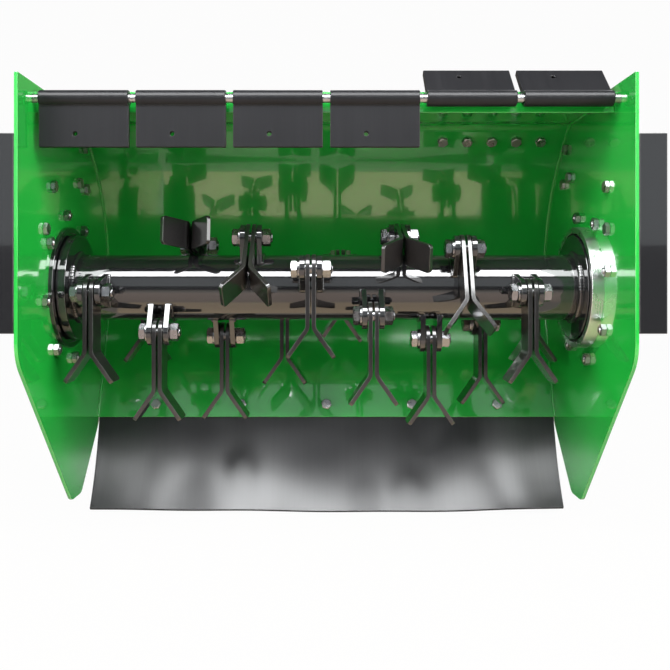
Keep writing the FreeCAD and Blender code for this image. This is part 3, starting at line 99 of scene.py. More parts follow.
# Sizes are metres and angles degrees. Section points are (Y, Z) about the rotor axis.
ROTOR = np.array([0.0, -0.345, 0.150])
HALF = 0.400  # rotor middle to the inside of a side plate
PLATE, BRACKET, FLANGE = 0.005, 0.006, 0.012
OUTSIDE = HALF + PLATE
SHELL_WALL = 0.004
BACK_CENTRE, BACK_RADIUS = np.array([-0.060, 0.008]), 0.282
REAR_ANGLE, UPPER_ANGLE = 20.0, 48.0
REAR_PANEL, UPPER_PANEL = 0.147, 0.060
ROOF_BEND, ROOF_FRONT = 0.040, -0.130
TUBE_RADIUS, TUBE_WALL, TUBE_HALF, TUBE_CHAMFER = 0.0508, 0.0063, 0.380, 0.0015
STATIONS, STATION_PITCH, PIVOT = 16, 0.0455, 0.080
FIRST_LUG, PAIRS_PER_TURN = -5.5, 7
EAR_OUTSIDE, EAR_FOOT = 0.0165, 0.025
REAR_FLAP_THICK, REAR_FLAP_OVERLAP, REAR_FLAP_DROP = 0.005, 0.042, 0.150
REAR_FLAP_TURN, REAR_FLAP_BEND = 17.0, 0.040  # the bend that the flat length allows for
REAR_FLAP_LEAN, REAR_FLAP_END_LEAN = 16.0, 9.0  # added at the free edge, and at its two ends

# Bolts: (Y, Z) places, and rows as (count, pitch, distance from the panel's edge)
FLANGE_BOLTS, FLANGE_PITCH, FIRST_FLANGE_BOLT = 8, 0.112, {1: 33, -1: 10}
SIDE_BOLTS = {
    1: ((0.069, 0.180), (0.101, 0.173), (0.086, 0.229), (-0.107, 0.083), (-0.105, 0.143)),
    -1: ((0.046, 0.168), (0.082, 0.162), (0.074, 0.229), (-0.107, 0.083), (-0.075, 0.147)),
}
GEARBOX_BOLT_X, GEARBOX_BOLT_YS, GEARBOX_BOLT_Z = 0.080, (0.259, 0.341), 0.041
UPPER_ROW = (5, 0.041, 0.018)
REAR_ROW = (5, 0.150, 0.022)
HEXAGON_COLUMNS, WASHER_COLUMNS, ROD_COLUMNS = 36, 36, 24
THREAD_DEPTH, THREAD_CONE = 0.55, 0.0008  # share of the pitch, and height of the end's cone

CAMERA_SHIFT = (0.012687, -0.070896)
FLOOR_NEAR, FLOOR_FAR, FLOOR_HALF, FLOOR_BEND, FLOOR_TOP = -5.0, 3.0, 6.0, 1.2, 5.0


def heading(degrees):
    """Unit vector in the section at an angle up from +Y."""
    return np.array([math.cos(math.radians(degrees)), math.sin(math.radians(degrees))])


# ---------------------------------------------------------------- settings

def length(name, description, default):
    return bpy.props.FloatProperty(
        name=name, description=description, default=default, min=0, unit="LENGTH", precision=4
    )


def colour(name, description, default):
    return bpy.props.FloatVectorProperty(
        name=name, description=description, default=default, size=3, min=0, max=1, subtype="COLOR"
    )


def power(name, description, default):
    return bpy.props.FloatProperty(
        name=name, description=description, default=default, min=0, unit="POWER"
    )


class FlailDeckSizes(bpy.types.PropertyGroup):
    """Sizes of the finishing details."""

    plate_edge: length("Plate edge", "Round along the edges of plates and brackets", 0.0008)
    casting_edge: length("Casting edge", "Round along the edges of castings", 0.0012)
    blade_edge: length("Blade edge", "Round along the edges of the blades", 0.0007)
    seam: length("Seam", "Leg of the weld between the shell and the side plates", 0.0028)
    lug_weld: length("Lug weld", "Leg of the welds at the feet of the lugs", 0.0032)
    sheet_wave: length("Sheet wave", "How far the shell's sheet strays from its true shape", 0.0003)
    flap_wave: length("Flap wave", "Height of the waves along the rear flap's free edge", 0.0030)


class FlailDeckColours(bpy.types.PropertyGroup):
    """Colours of the finishes."""

    paint: colour("Deck paint", "Paint of the shell and the side plates", (0.012, 0.360, 0.040))
    rotor_paint: colour("Rotor paint", "Paint of the rotor and the skids", (0.010, 0.010, 0.011))
    worn_steel: colour("Worn steel", "Steel where paint has worn off", (0.150, 0.135, 0.120))
    soil: colour("Soil", "Dry soil in corners and on flat faces", (0.110, 0.070, 0.045))
    rubber: colour("Rubber", "Rubber of the flaps", (0.006, 0.006, 0.007))
    bloom: colour("Rubber bloom", "Grey bloom on the rubber", (0.020, 0.020, 0.022))
    zinc: colour("Zinc", "Plated bolts, nuts and screws", (0.400, 0.405, 0.410))
    aluminium: colour("Aluminium", "Cast and turned housings", (0.620, 0.630, 0.620))


class FlailDeckStage(bpy.types.PropertyGroup):
    """Camera and lights."""

    lens: bpy.props.FloatProperty(
        name="Lens", description="Focal length", default=42.23, min=1, subtype="DISTANCE_CAMERA"
    )
    distance: length("Camera distance", "Camera to the rotor axis", 1.222)
    key: power("Key", "Power of the long lamp above the mouth", 84)
    front: power("Front", "Power of the wide lamp behind the camera", 9)


# ---------------------------------------------------------------- surfaces

def grid_faces(rows, columns, close_rows, close_columns):
    """Quads (i, j), (i+1, j), (i+1, j+1), (i, j+1) of a grid, wrapped round where it is closed."""
    i, j = np.meshgrid(
        np.arange(rows if close_rows else rows - 1),
        np.arange(columns if close_columns else columns - 1),
        indexing="ij",
    )
    i2, j2 = (i + 1) % rows, (j + 1) % columns
    corners = [i * columns + j, i2 * columns + j, i2 * columns + j2, i * columns + j2]
    return np.stack(corners, axis=-1).reshape(-1, 4)


def surface_mesh(name, grids):
    """One mesh from grids of points, each given as (points, close_rows, close_columns)."""
    points, faces, start = [], [], 0
    for grid, close_rows, close_columns in grids:
        rows, columns = grid.shape[:2]
        points.append(grid.reshape(-1, 3))
        faces.append(grid_faces(rows, columns, close_rows, close_columns) + start)
        start += rows * columns
    mesh = bpy.data.meshes.new(name)
    mesh.from_pydata(np.concatenate(points).tolist(), [], np.concatenate(faces).tolist())
    return mesh


def clean(mesh):
    """Merges doubles, drops faces with no area and points closed shells outwards."""
    work = bmesh.new()
    work.from_mesh(mesh)
    bmesh.ops.remove_doubles(work, verts=work.verts, dist=1e-6)
    bmesh.ops.dissolve_degenerate(work, edges=work.edges, dist=1e-7)
    bmesh.ops.recalc_face_normals(work, faces=work.faces)
    work.to_mesh(mesh)
    work.free()


def piece(name, mesh, finish, body, replaces=(), sharp=30, look=None):
    """An object of the deck at the origin, smooth but for its sharp edges, on its body.

    Its material is the given finish, or another finish given as its look.
    """
    mesh.materials.clear()
    mesh.materials.append(bpy.data.materials[f"{look or finish}_finish"])
    mesh.shade_smooth()
    mesh.set_sharp_from_angle(angle=math.radians(sharp))
    made = bpy.data.objects.new(name, mesh)
    bpy.context.scene.collection.objects.link(made)
    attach(made, body)
    if replaces:
        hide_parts(*replaces)
    return made


def round_edges(made, width, angle=35):
    bevel = made.modifiers.new("edges", "BEVEL")
    bevel.width = width
    bevel.segments = 2
    bevel.limit_method = "ANGLE"
    bevel.angle_limit = math.radians(angle)
    bevel.use_clamp_overlap = False
    bevel.harden_normals = True
    return made


def thicken(made, wall, offset):
    solid = made.modifiers.new("wall", "SOLIDIFY")
    solid.thickness = wall
    solid.offset = offset
    solid.use_even_offset = True
    return made


def dressed(node, finish, edge, whole=True, look=None):
    """A copy of a CAD node with merged points, flat faces made whole and its edges rounded."""
    source = frame["nodes"][node]
    mesh = source.data.copy()
    for extra in ("custom_normal", "sharp_edge", "sharp_face"):
        attribute = mesh.attributes.get(extra)
        if attribute is not None:
            mesh.attributes.remove(attribute)
    work = bmesh.new()
    work.from_mesh(mesh)
    bmesh.ops.remove_doubles(work, verts=work.verts, dist=2e-6)
    if whole:
        bmesh.ops.dissolve_limit(
            work, angle_limit=math.radians(0.3), verts=work.verts, edges=work.edges
        )
    work.to_mesh(mesh)
    work.free()
    mesh.name = f"{node}_finished"
    made = piece(mesh.name, mesh, finish, body_of(source)[0], (node,), look=look)
    return round_edges(made, edge) if edge else made


def in_section(points, x):
    """Places section points (Y, Z) at a distance X along the rotor, in the row frame."""
    points = np.asarray(points, float)
    x = np.broadcast_to(x, points.shape[:-1])
    return np.stack([x, points[..., 0], points[..., 1]], axis=-1) + ROTOR


def on_rear_panel(up, out):
    """A section point up from the rear panel's lower edge, outside the shell's inner face."""
    low = BACK_CENTRE + heading(-REAR_ANGLE) * (BACK_RADIUS + out)
    return low - heading(90 - REAR_ANGLE) * (REAR_PANEL - up)


def on_upper_panel(up, out):
    """A section point up from the end of the round back, outside the shell's inner face."""
    low = BACK_CENTRE + heading(UPPER_ANGLE) * (BACK_RADIUS + out)
    return low + heading(90 + UPPER_ANGLE) * up


def shell_run():
    """Section of the shell's inner face: a line, an arc, a line, an arc and a line."""
    low, high = on_rear_panel(REAR_PANEL, 0), on_upper_panel(0, 0)
    rear, upper = on_rear_panel(0, 0), on_upper_panel(UPPER_PANEL, 0)
    bend_centre = upper - heading(UPPER_ANGLE) * ROOF_BEND

    def arc(centre, size, start, end, count):
        turns = np.radians(np.linspace(start, end, count))
        return centre + size * np.stack([np.cos(turns), np.sin(turns)], axis=-1)

    roof = bend_centre + heading(90) * ROOF_BEND
    parts = [
        np.linspace(rear, low, 16)[:-1],
        arc(BACK_CENTRE, BACK_RADIUS, -REAR_ANGLE, UPPER_ANGLE, 69)[:-1],
        np.linspace(high, upper, 8)[:-1],
        arc(bend_centre, ROOF_BEND, UPPER_ANGLE, 90, 15)[:-1],
        np.linspace(roof, [ROOF_FRONT, roof[1]], 8),
    ]
    return np.concatenate(parts)


def section_normals(run):
    """Left-hand normals of a section line, from the differences of its points."""
    along = np.gradient(run, axis=0)
    along /= np.linalg.norm(along, axis=-1, keepdims=True)
    return np.stack([-along[:, 1], along[:, 0]], axis=-1)


def distances(run):
    """How far along a line each of its points is."""
    return np.concatenate([[0], np.cumsum(np.linalg.norm(np.diff(run, axis=0), axis=-1))])


def lathe(profile, columns):
    """Turns (X, radius) pairs about the X axis."""
    profile = np.asarray(profile, float)
    turns = np.linspace(0, 2 * math.pi, columns, endpoint=False)
    x, radius = profile[:, :1], profile[:, 1:]
    xs = np.broadcast_to(x, (len(profile), columns))
    return np.stack([xs, radius * np.cos(turns), radius * np.sin(turns)], axis=-1)


def bead(run, normals, x, radius, ripple, ring=8):
    """A weld bead along a section line at X: a ring of points across each point of the line.

    The ring's radius swells and shrinks with the distance along the line, as the ripples of a
    weld do, and follows a quarter circle down to nothing at both ends.
    """
    distance = distances(run)
    swell = 1 + 0.14 * np.abs(np.sin(math.pi * distance / ripple)) + 0.06 * np.sin(distance * 310)
    ends = np.clip(np.minimum(distance, distance[-1] - distance) / radius, 0, 1)
    swell *= np.sqrt(ends * (2 - ends))
    turns = np.linspace(0, 2 * math.pi, ring, endpoint=False)
    up = np.concatenate([np.zeros((len(run), 1)), normals], axis=-1)
    across = np.cos(turns)[None, :, None] * up[:, None]
    across[..., 0] += np.sin(turns)
    return in_section(run, x)[:, None] + radius * swell[:, None, None] * across, False, True


def resample(run, step):
    """Points every step along a section line, by linear interpolation of its arc length."""
    distance = distances(run)
    wanted = np.linspace(0, distance[-1], int(distance[-1] / step) + 1)
    return np.stack([np.interp(wanted, distance, run[:, k]) for k in range(2)], axis=-1)


# ---------------------------------------------------------------- fasteners

def hexagon(across, start, end):
    """A chamfered hexagon along X: radius = half the flats / cosine of the angle from a flat.

    A cone of 30 degrees takes its corners off at both ends, so each end is a circle.
    """
    turns = np.linspace(0, 2 * math.pi, HEXAGON_COLUMNS, endpoint=False)
    from_flat = (turns + math.pi / 6) % (math.pi / 3) - math.pi / 6
    flat = across / 2
    hexagonal = flat / np.cos(from_flat)
    circle = np.full(HEXAGON_COLUMNS, 0.93 * flat)
    chamfer = (hexagonal - circle) * math.tan(math.radians(30))
    radii = np.stack([0 * circle, circle, hexagonal, hexagonal, circle, 0 * circle])
    first, last = start + 0 * turns, end + 0 * turns
    xs = np.stack([first, first, first + chamfer, last - chamfer, last, last])
    return np.stack([xs, radii * np.cos(turns), radii * np.sin(turns)], axis=-1)


def threaded(dia, start, end, pitch):
    """A rod along X: its radius is a triangle wave between crest and root, then a cone."""
    count = max(int((end - start) / pitch * 4), 4)
    x = np.linspace(start, end, count)
    wave = np.abs(((x / pitch) % 1) * 2 - 1)
    radius = dia / 2 - THREAD_DEPTH * pitch * (1 - wave)
    radius = np.minimum(radius, dia / 2 - THREAD_CONE + (end - x))
    profile = np.concatenate([[[start, 0]], np.stack([x, radius], axis=-1), [[end, 0]]])
    return lathe(profile, ROD_COLUMNS)


def bolt(dia, across, head, grip, nut=0.0, spare=0.0, washer=0.0, washer_dia=0.0, pitch=0.0015):
    """Grids of a bolt along +X, its grip from 0: head, shank, washer, nut and threaded end."""
    grids = [hexagon(across, -head - washer, -washer)]
    plain = [[-washer, 0], [-washer, dia / 2], [grip, dia / 2], [grip, 0]]
    grids.append(lathe(plain, ROD_COLUMNS))
    if washer:
        edge = 0.12 * washer
        rim = washer_dia / 2
        disc = [
            [-washer, 0], [-washer, rim - edge], [-washer + edge, rim],
            [-edge, rim], [0, rim - edge], [0, 0],
        ]
        grids.append(lathe(disc, WASHER_COLUMNS))
    if nut:
        grids.append(hexagon(across, grip, grip + nut))
        grids.append(threaded(dia, grip, grip + nut + spare, pitch))
    return grids


def placed(grids, place, axis, roll):
    """Turns grids drawn along +X to an axis, rolled about it, and moves them to a place."""
    turn = Vector((1, 0, 0)).rotation_difference(Vector(axis).normalized()).to_matrix()
    matrix = np.array(turn @ Matrix.Rotation(math.radians(roll), 3, "X"))
    return [(grid @ matrix.T + np.asarray(place) + ROTOR, False, True) for grid in grids]


def lug_angle(station):
    """Up from the mouth's direction: a double helix of opposite pairs."""
    pair, second = divmod(station - 1, 2)
    return FIRST_LUG - pair * 360 / PAIRS_PER_TURN + 180 * second


def station_x(station):
    return (station - (STATIONS + 1) / 2) * STATION_PITCH


def small_bolt(grip, nut=0.008):
    """An M10 bolt, 16 mm across the flats, with or without its nut."""
    return bolt(0.010, 0.016, 0.0064, grip, nut, 0.002 if nut else 0.0)


# ---------------------------------------------------------------- node groups

def group(name, inputs, output):
    """An empty shader group with float inputs (name, default) and one float output."""
    tree = bpy.data.node_groups.new(name, "ShaderNodeTree")
    for label, default in inputs:
        socket = tree.interface.new_socket(label, in_out="INPUT", socket_type="NodeSocketFloat")
        socket.default_value = default
    tree.interface.new_socket(output, in_out="OUTPUT", socket_type="NodeSocketFloat")
    return tree, tree.nodes.new("NodeGroupInput"), tree.nodes.new("NodeGroupOutput")


def add(tree, kind, sockets=None, **settings):
    """A node with its settings, and its input sockets given values or links."""
    made = tree.nodes.new(kind)
    for key, value in settings.items():
        setattr(made, key, value)
    for key, value in (sockets or {}).items():
        socket = made.inputs[key]
        if isinstance(value, bpy.types.NodeSocket):
            tree.links.new(value, socket)
        else:
            socket.default_value = value
    return made


def maths(tree, operation, *terms, clamp=False):
    return add(
        tree, "ShaderNodeMath", dict(enumerate(terms)), operation=operation, use_clamp=clamp
    ).outputs[0]


def plus(tree, *terms):
    return maths(tree, "ADD", *terms)


def times(tree, *terms):
    return maths(tree, "MULTIPLY", *terms)


def ramp(tree, value, start, slope):
    """0 below start, then a straight rise of slope up to 1."""
    return maths(tree, "MULTIPLY", maths(tree, "SUBTRACT", value, start), slope, clamp=True)


def limit(tree, most, cover, share):
    """The start of a ramp: lower with more cover."""
    return maths(tree, "SUBTRACT", most, times(tree, cover, share))


def between(tree, value, low, high):
    """0 below low, 1 above high and smooth in between."""
    return add(
        tree,
        "ShaderNodeMapRange",
        {"Value": value, "From Min": low, "From Max": high},
        interpolation_type="SMOOTHSTEP",
    ).outputs["Result"]


def mixed(tree, mask, first, second):
    """A colour mixed from two colours by a mask."""
    sockets = {0: mask, 6: first, 7: second}
    return add(tree, "ShaderNodeMix", sockets, data_type="RGBA").outputs[2]


def object_points(tree, stretch=(1, 1, 1)):
    points = add(tree, "ShaderNodeTexCoord").outputs["Object"]
    return add(tree, "ShaderNodeMapping", {"Vector": points, "Scale": stretch}).outputs["Vector"]


def noise(tree, points, scale, detail=3.0, roughness=0.55):
    return add(
        tree,
        "ShaderNodeTexNoise",
        {"Vector": points, "Scale": scale, "Detail": detail, "Roughness": roughness},
    ).outputs["Fac"]


def make_groups():
    """Effects that several finishes share."""
    # edge mask, used for wear and, on the green paint, for a painted edge highlight: how far a
    # rounded normal leaves the true one, broken up by noise
    inputs = [("Width", 0.002), ("Breakup", 180.0), ("Cover", 0.5)]
    tree, given, out = group("edge_wear_and_highlight", inputs, "Mask")
    bevel = add(tree, "ShaderNodeBevel", {"Radius": given.outputs["Width"]}, samples=4)
    true = add(tree, "ShaderNodeNewGeometry").outputs["Normal"]
    agree = add(
        tree, "ShaderNodeVectorMath", {0: bevel.outputs["Normal"], 1: true}, operation="DOT_PRODUCT"
    ).outputs["Value"]
    edge = between(tree, maths(tree, "SUBTRACT", 1.0, agree), 0.01, 0.16)
    patches = noise(tree, object_points(tree), given.outputs["Breakup"], 5.0)
    worn = plus(tree, times(tree, edge, 0.62), times(tree, patches, 0.6))
    start = limit(tree, 1.05, given.outputs["Cover"], 0.5)
    tree.links.new(ramp(tree, worn, start, 9.0), out.inputs["Mask"])

    # dirt: two scales of noise
    tree, given, out = group("dirt", [("Scale", 14.0), ("Cover", 0.4)], "Mask")
    points = object_points(tree)
    broad = noise(tree, points, given.outputs["Scale"], 6.0, 0.62)
    fine = noise(tree, points, times(tree, given.outputs["Scale"], 9.0), 3.0, 0.6)
    both = plus(tree, times(tree, broad, 0.75), times(tree, fine, 0.25))
    start = limit(tree, 0.80, given.outputs["Cover"], 0.5)
    tree.links.new(ramp(tree, both, start, 5.0), out.inputs["Mask"])

    # paint skin: the low swell of sprayed paint with fine nibs in it
    tree, given, out = group("paint_skin", [("Scale", 260.0)], "Height")
    points = object_points(tree)
    swell = noise(tree, points, given.outputs["Scale"], 1.5, 0.4)
    nibs = between(tree, noise(tree, points, 900.0, 1.0), 0.72, 0.80)
    tree.links.new(plus(tree, swell, times(tree, nibs, 0.5)), out.inputs["Height"])

    # turned rings: a sine of the distance from the rotor axis, shaken by noise
    tree, given, out = group("turned_rings", [("Pitch", 0.0009)], "Height")
    middle = add(
        tree,
        "ShaderNodeVectorMath",
        {0: add(tree, "ShaderNodeTexCoord").outputs["Object"], 1: tuple(ROTOR)},
        operation="SUBTRACT",
    ).outputs["Vector"]
    flat = add(
        tree, "ShaderNodeVectorMath", {0: middle, 1: (0.35, 1.0, 1.0)}, operation="MULTIPLY"
    ).outputs["Vector"]
    away = add(tree, "ShaderNodeVectorMath", {0: flat}, operation="LENGTH").outputs["Value"]
    turns = times(tree, maths(tree, "DIVIDE", away, given.outputs["Pitch"]), 2 * math.pi)
    ridge = times(tree, maths(tree, "SINE", turns), 0.5)
    rough = noise(tree, object_points(tree, (30, 6, 6)), 60.0, 2.0)
    tree.links.new(plus(tree, ridge, rough), out.inputs["Height"])

    # scuffs: thin stretched noise that runs across a face
    tree, given, out = group("scuffs", [("Scale", 30.0), ("Cover", 0.3)], "Mask")
    lines = noise(tree, object_points(tree, (1.0, 1.0, 14.0)), given.outputs["Scale"], 4.0, 0.7)
    others = noise(tree, object_points(tree, (12.0, 2.0, 1.0)), given.outputs["Scale"], 4.0, 0.7)
    most = maths(tree, "MAXIMUM", lines, others)
    start = limit(tree, 0.78, given.outputs["Cover"], 0.22)
    tree.links.new(ramp(tree, most, start, 12.0), out.inputs["Mask"])


def use(tree, name, **values):
    made = add(tree, "ShaderNodeGroup", node_tree=bpy.data.node_groups[name])
    for key, value in values.items():
        made.inputs[key.capitalize()].default_value = value
    return made.outputs[0]


# ---------------------------------------------------------------- finishes

def new_finish(name, **constants):
    """A material with a Principled shader and its constant sockets set."""
    made = bpy.data.materials.new(f"{name}_finish")
    made.use_nodes = True
    shader = made.node_tree.nodes["Principled BSDF"]
    for key, value in constants.items():
        shader.inputs[key.replace("_", " ")].default_value = value
    return made.node_tree, shader


def feed(tree, shader, **links):
    for key, value in links.items():
        tree.links.new(value, shader.inputs[key.replace("_", " ")])


def bump(tree, height, strength, distance):
    sockets = {"Height": height, "Strength": strength, "Distance": distance}
    return add(tree, "ShaderNodeBump", sockets).outputs["Normal"]


def solid(rgb, scale=1.0):
    return (*(min(part * scale, 1.0) for part in rgb), 1.0)


def deck_paint(colours):
    tree, shader = new_finish("green_paint", Coat_Weight=1.0, Coat_Roughness=0.03, Coat_IOR=1.65)
    depth = noise(tree, object_points(tree), 5.0, 3.0)
    paint = mixed(tree, depth, solid(colours.paint, 0.84), solid(colours.paint, 1.14))
    # the lighter green mixed in along rounded edges below is a painted edge highlight
    edge = use(tree, "edge_wear_and_highlight", width=0.0022, breakup=60.0, cover=0.55)
    painted_edge_highlight = mixed(tree, times(tree, edge, 0.55), paint, (0.20, 0.52, 0.16, 1))
    dust = use(tree, "dirt", scale=9.0, cover=0.10)
    dusty = mixed(tree, times(tree, dust, 0.22), painted_edge_highlight, solid(colours.soil))
    gloss = plus(tree, 0.16, times(tree, dust, 0.2))
    skin = bump(tree, use(tree, "paint_skin", scale=240.0), 0.035, 0.0006)
    feed(tree, shader, Base_Color=dusty, Roughness=gloss, Normal=skin)


def rotor_paint(colours):
    tree, shader = new_finish(
        "black_paint", Coat_Weight=1.0, Coat_Roughness=0.03, Coat_IOR=1.55, Specular_IOR_Level=0.3
    )
    worn = use(tree, "edge_wear_and_highlight", width=0.0016, breakup=220.0, cover=0.42)
    scuffed = times(tree, use(tree, "scuffs", scale=26.0, cover=0.25), 0.35)
    soil = times(tree, use(tree, "dirt", scale=16.0, cover=0.16), 0.30)
    paint = mixed(tree, soil, solid(colours.rotor_paint), solid(colours.soil, 0.55))
    bare = maths(tree, "MAXIMUM", worn, scuffed)
    base = mixed(tree, bare, paint, solid(colours.worn_steel))
    rough = plus(tree, 0.10, times(tree, maths(tree, "MAXIMUM", bare, soil), 0.30))
    metal = times(tree, bare, 0.6)
    skin = bump(tree, use(tree, "paint_skin", scale=180.0), 0.06, 0.0006)
    feed(tree, shader, Base_Color=base, Roughness=rough, Metallic=metal, Normal=skin)


def blade_steel(colours):
    tree, shader = new_finish(
        "blade_steel", Coat_Weight=1.0, Coat_Roughness=0.08, Coat_IOR=1.5, Specular_IOR_Level=0.25
    )
    worn = use(tree, "edge_wear_and_highlight", width=0.0012, breakup=160.0, cover=0.34)
    scuffed = times(tree, use(tree, "scuffs", scale=40.0, cover=0.45), 0.45)
    pits = noise(tree, object_points(tree), 420.0, 5.0, 0.65)
    scale = mixed(tree, pits, (0.004, 0.004, 0.005, 1), (0.018, 0.016, 0.015, 1))
    bare = maths(tree, "MAXIMUM", worn, scuffed)
    base = mixed(tree, bare, scale, solid(colours.worn_steel, 1.25))
    rough = plus(tree, 0.20, times(tree, pits, 0.24))
    metal = plus(tree, 0.15, times(tree, bare, 0.7))
    relief = bump(tree, pits, 0.25, 0.0004)
    feed(tree, shader, Base_Color=base, Roughness=rough, Metallic=metal, Normal=relief)


def plated(name, rgb, rough_low, rough_high, mottle, relief):
    """Metal with a mottled surface: colour and roughness follow two scales of noise."""
    tree, shader = new_finish(name, Metallic=1.0)
    cloud = noise(tree, object_points(tree), mottle, 4.0, 0.6)
    fine = noise(tree, object_points(tree), mottle * 12, 2.0, 0.5)
    soil = use(tree, "dirt", scale=40.0, cover=0.22)
    worn = use(tree, "edge_wear_and_highlight", width=0.0012, breakup=300.0, cover=0.5)
    base = mixed(tree, cloud, solid(rgb, 0.72), solid(rgb, 1.08))
    base = mixed(tree, times(tree, worn, 0.35), base, solid(rgb, 1.35))
    base = mixed(tree, times(tree, soil, 0.5), base, (0.09, 0.07, 0.055, 1))
    span = {"From Min": 0.3, "From Max": 0.7, "To Min": rough_low, "To Max": rough_high}
    rough = add(tree, "ShaderNodeMapRange", {"Value": cloud, **span}).outputs["Result"]
    feed(tree, shader, Base_Color=base, Roughness=rough, Normal=bump(tree, fine, relief, 0.0003))


def turned_aluminium(colours):
    tree, shader = new_finish("aluminium", Metallic=1.0)
    rings = use(tree, "turned_rings", pitch=0.0011)
    cloud = noise(tree, object_points(tree), 22.0, 4.0)
    base = mixed(tree, cloud, solid(colours.aluminium, 0.86), solid(colours.aluminium, 1.06))
    soil = times(tree, use(tree, "dirt", scale=24.0, cover=0.12), 0.4)
    base = mixed(tree, soil, base, (0.16, 0.13, 0.10, 1))
    rough = plus(tree, 0.20, times(tree, cloud, 0.16))
    feed(tree, shader, Base_Color=base, Roughness=rough, Normal=bump(tree, rings, 0.16, 0.0003))


def flap_rubber(colours, name, coat, coat_rough):
    tree, shader = new_finish(
        name, Coat_Weight=coat, Coat_Roughness=coat_rough, Coat_IOR=1.8, Specular_IOR_Level=0.12
    )
    streaks = noise(tree, object_points(tree, (90.0, 1.0, 2.2)), 2.4, 5.0, 0.65)
    cloud = noise(tree, object_points(tree), 7.0, 5.0, 0.6)
    bloom = times(tree, cloud, streaks)
    base = mixed(tree, bloom, solid(colours.rubber), solid(colours.bloom))
    soil = times(tree, use(tree, "dirt", scale=12.0, cover=0.16), 0.35)
    base = mixed(tree, soil, base, solid(colours.soil, 0.7))
    edge = times(tree, use(tree, "edge_wear_and_highlight", width=0.0020, breakup=90.0, cover=0.6), 0.4)
    base = mixed(tree, edge, base, (0.10, 0.095, 0.09, 1))
    rough = plus(tree, 0.30, times(tree, streaks, 0.16))
    grain = noise(tree, object_points(tree, (3.0, 1.0, 1.0)), 700.0, 2.0)
    relief = plus(tree, times(tree, grain, 0.4), streaks)
    feed(tree, shader, Base_Color=base, Roughness=rough, Normal=bump(tree, relief, 0.10, 0.0004))


def belt_rubber():
    tree, shader = new_finish("belt_rubber", Metallic=0.0)
    weave = {"Vector": object_points(tree), "Scale": 320.0, "Distortion": 1.5}
    cloth = add(tree, "ShaderNodeTexWave", weave).outputs["Fac"]
    dusty = use(tree, "dirt", scale=30.0, cover=0.3)
    base = mixed(tree, cloth, (0.010, 0.010, 0.010, 1), (0.030, 0.029, 0.028, 1))
    base = mixed(tree, times(tree, dusty, 0.4), base, (0.10, 0.09, 0.08, 1))
    rough = plus(tree, 0.55, times(tree, cloth, 0.2))
    feed(tree, shader, Base_Color=base, Roughness=rough, Normal=bump(tree, cloth, 0.3, 0.0004))


# ---------------------------------------------------------------- operators

class FlailDeckOperator:
    """What every step of the deck shares."""

    bl_options = {"REGISTER", "UNDO"}

    def execute(self, context):
        self.build(context.scene.flail_sizes)
        return {"FINISHED"}


class FLAILDECK_OT_finishes(FlailDeckOperator, bpy.types.Operator):
    """Paints, metals and rubbers of the deck"""

    bl_idname = "flail_deck.finishes"
    bl_label = "Finishes"

    def execute(self, context):
        colours = context.scene.flail_colours
        make_groups()
        deck_paint(colours)
        rotor_paint(colours)
        blade_steel(colours)
        turned_aluminium(colours)
        flap_rubber(colours, "flap_rubber", 0.30, 0.24)
        flap_rubber(colours, "front_rubber", 0.08, 0.30)
        belt_rubber()
        # colour, least and most roughness, scale of the mottle, relief
        plated("zinc_steel", colours.zinc, 0.20, 0.42, 60.0, 0.10)
        plated("sprayed_zinc", (0.25, 0.25, 0.26), 0.14, 0.34, 80.0, 0.16)
        plated("bright_steel", (0.60, 0.60, 0.61), 0.14, 0.30, 40.0, 0.04)
        plated("cast_iron", (0.16, 0.155, 0.15), 0.42, 0.62, 90.0, 0.45)
        plated("bronze", (0.55, 0.34, 0.14), 0.28, 0.46, 50.0, 0.10)
        return {"FINISHED"}


class FLAILDECK_OT_shell(FlailDeckOperator, bpy.types.Operator):
    """Rolled shell, side plates, front rail and the welds between them"""

    bl_idname = "flail_deck.shell"
    bl_label = "Shell and side plates"

    def build(self, sizes):
        run = shell_run()
        normals = section_normals(run)
        xs = np.linspace(-HALF, HALF, 61)
        u = np.arange(len(run))[:, None] / len(run)
        v = xs[None, :]
        # the sheet strays by a sum of slow sines of both parameters
        stray = np.sin(9 * u + 7 * v) * np.cos(11 * v - 3 * u) + 0.5 * np.sin(23 * v + 5 * u)
        section = run[:, None] + (sizes.sheet_wave * 0.6 * stray)[..., None] * normals[:, None]
        points = in_section(section, np.broadcast_to(xs, stray.shape))
        mesh = surface_mesh("housing_shell_sheet", [(points, False, False)])
        shell = piece("housing_shell_sheet", mesh, "green_paint", "deck", ("housing_shell",))
        thicken(shell, SHELL_WALL, self.outward(mesh))
        round_edges(shell, 0.0007, angle=50)
        for side in ("left", "right"):
            dressed(f"{side}_side_plate", "green_paint", sizes.plate_edge)
        dressed("front_rail", "green_paint", sizes.plate_edge)
        self.seams(sizes.seam)

    @staticmethod
    def outward(mesh):
        """The Solidify offset that puts the wall outside the inner face."""
        middle = mesh.polygons[len(mesh.polygons) // 2]
        inward = Vector(ROTOR) - middle.center
        return -1.0 if middle.normal.dot(inward) > 0 else 1.0

    @staticmethod
    def seams(leg):
        run = resample(shell_run(), 0.0009)
        normals = section_normals(run)
        inner = run + normals * leg * 0.20
        grids = [
            bead(inner, normals, side * (HALF - leg * 0.20), leg * 0.75, 0.0036) for side in (-1, 1)
        ]
        mesh = surface_mesh("shell_seams", grids)
        clean(mesh)
        piece("shell_seams", mesh, "green_paint", "deck", sharp=80)


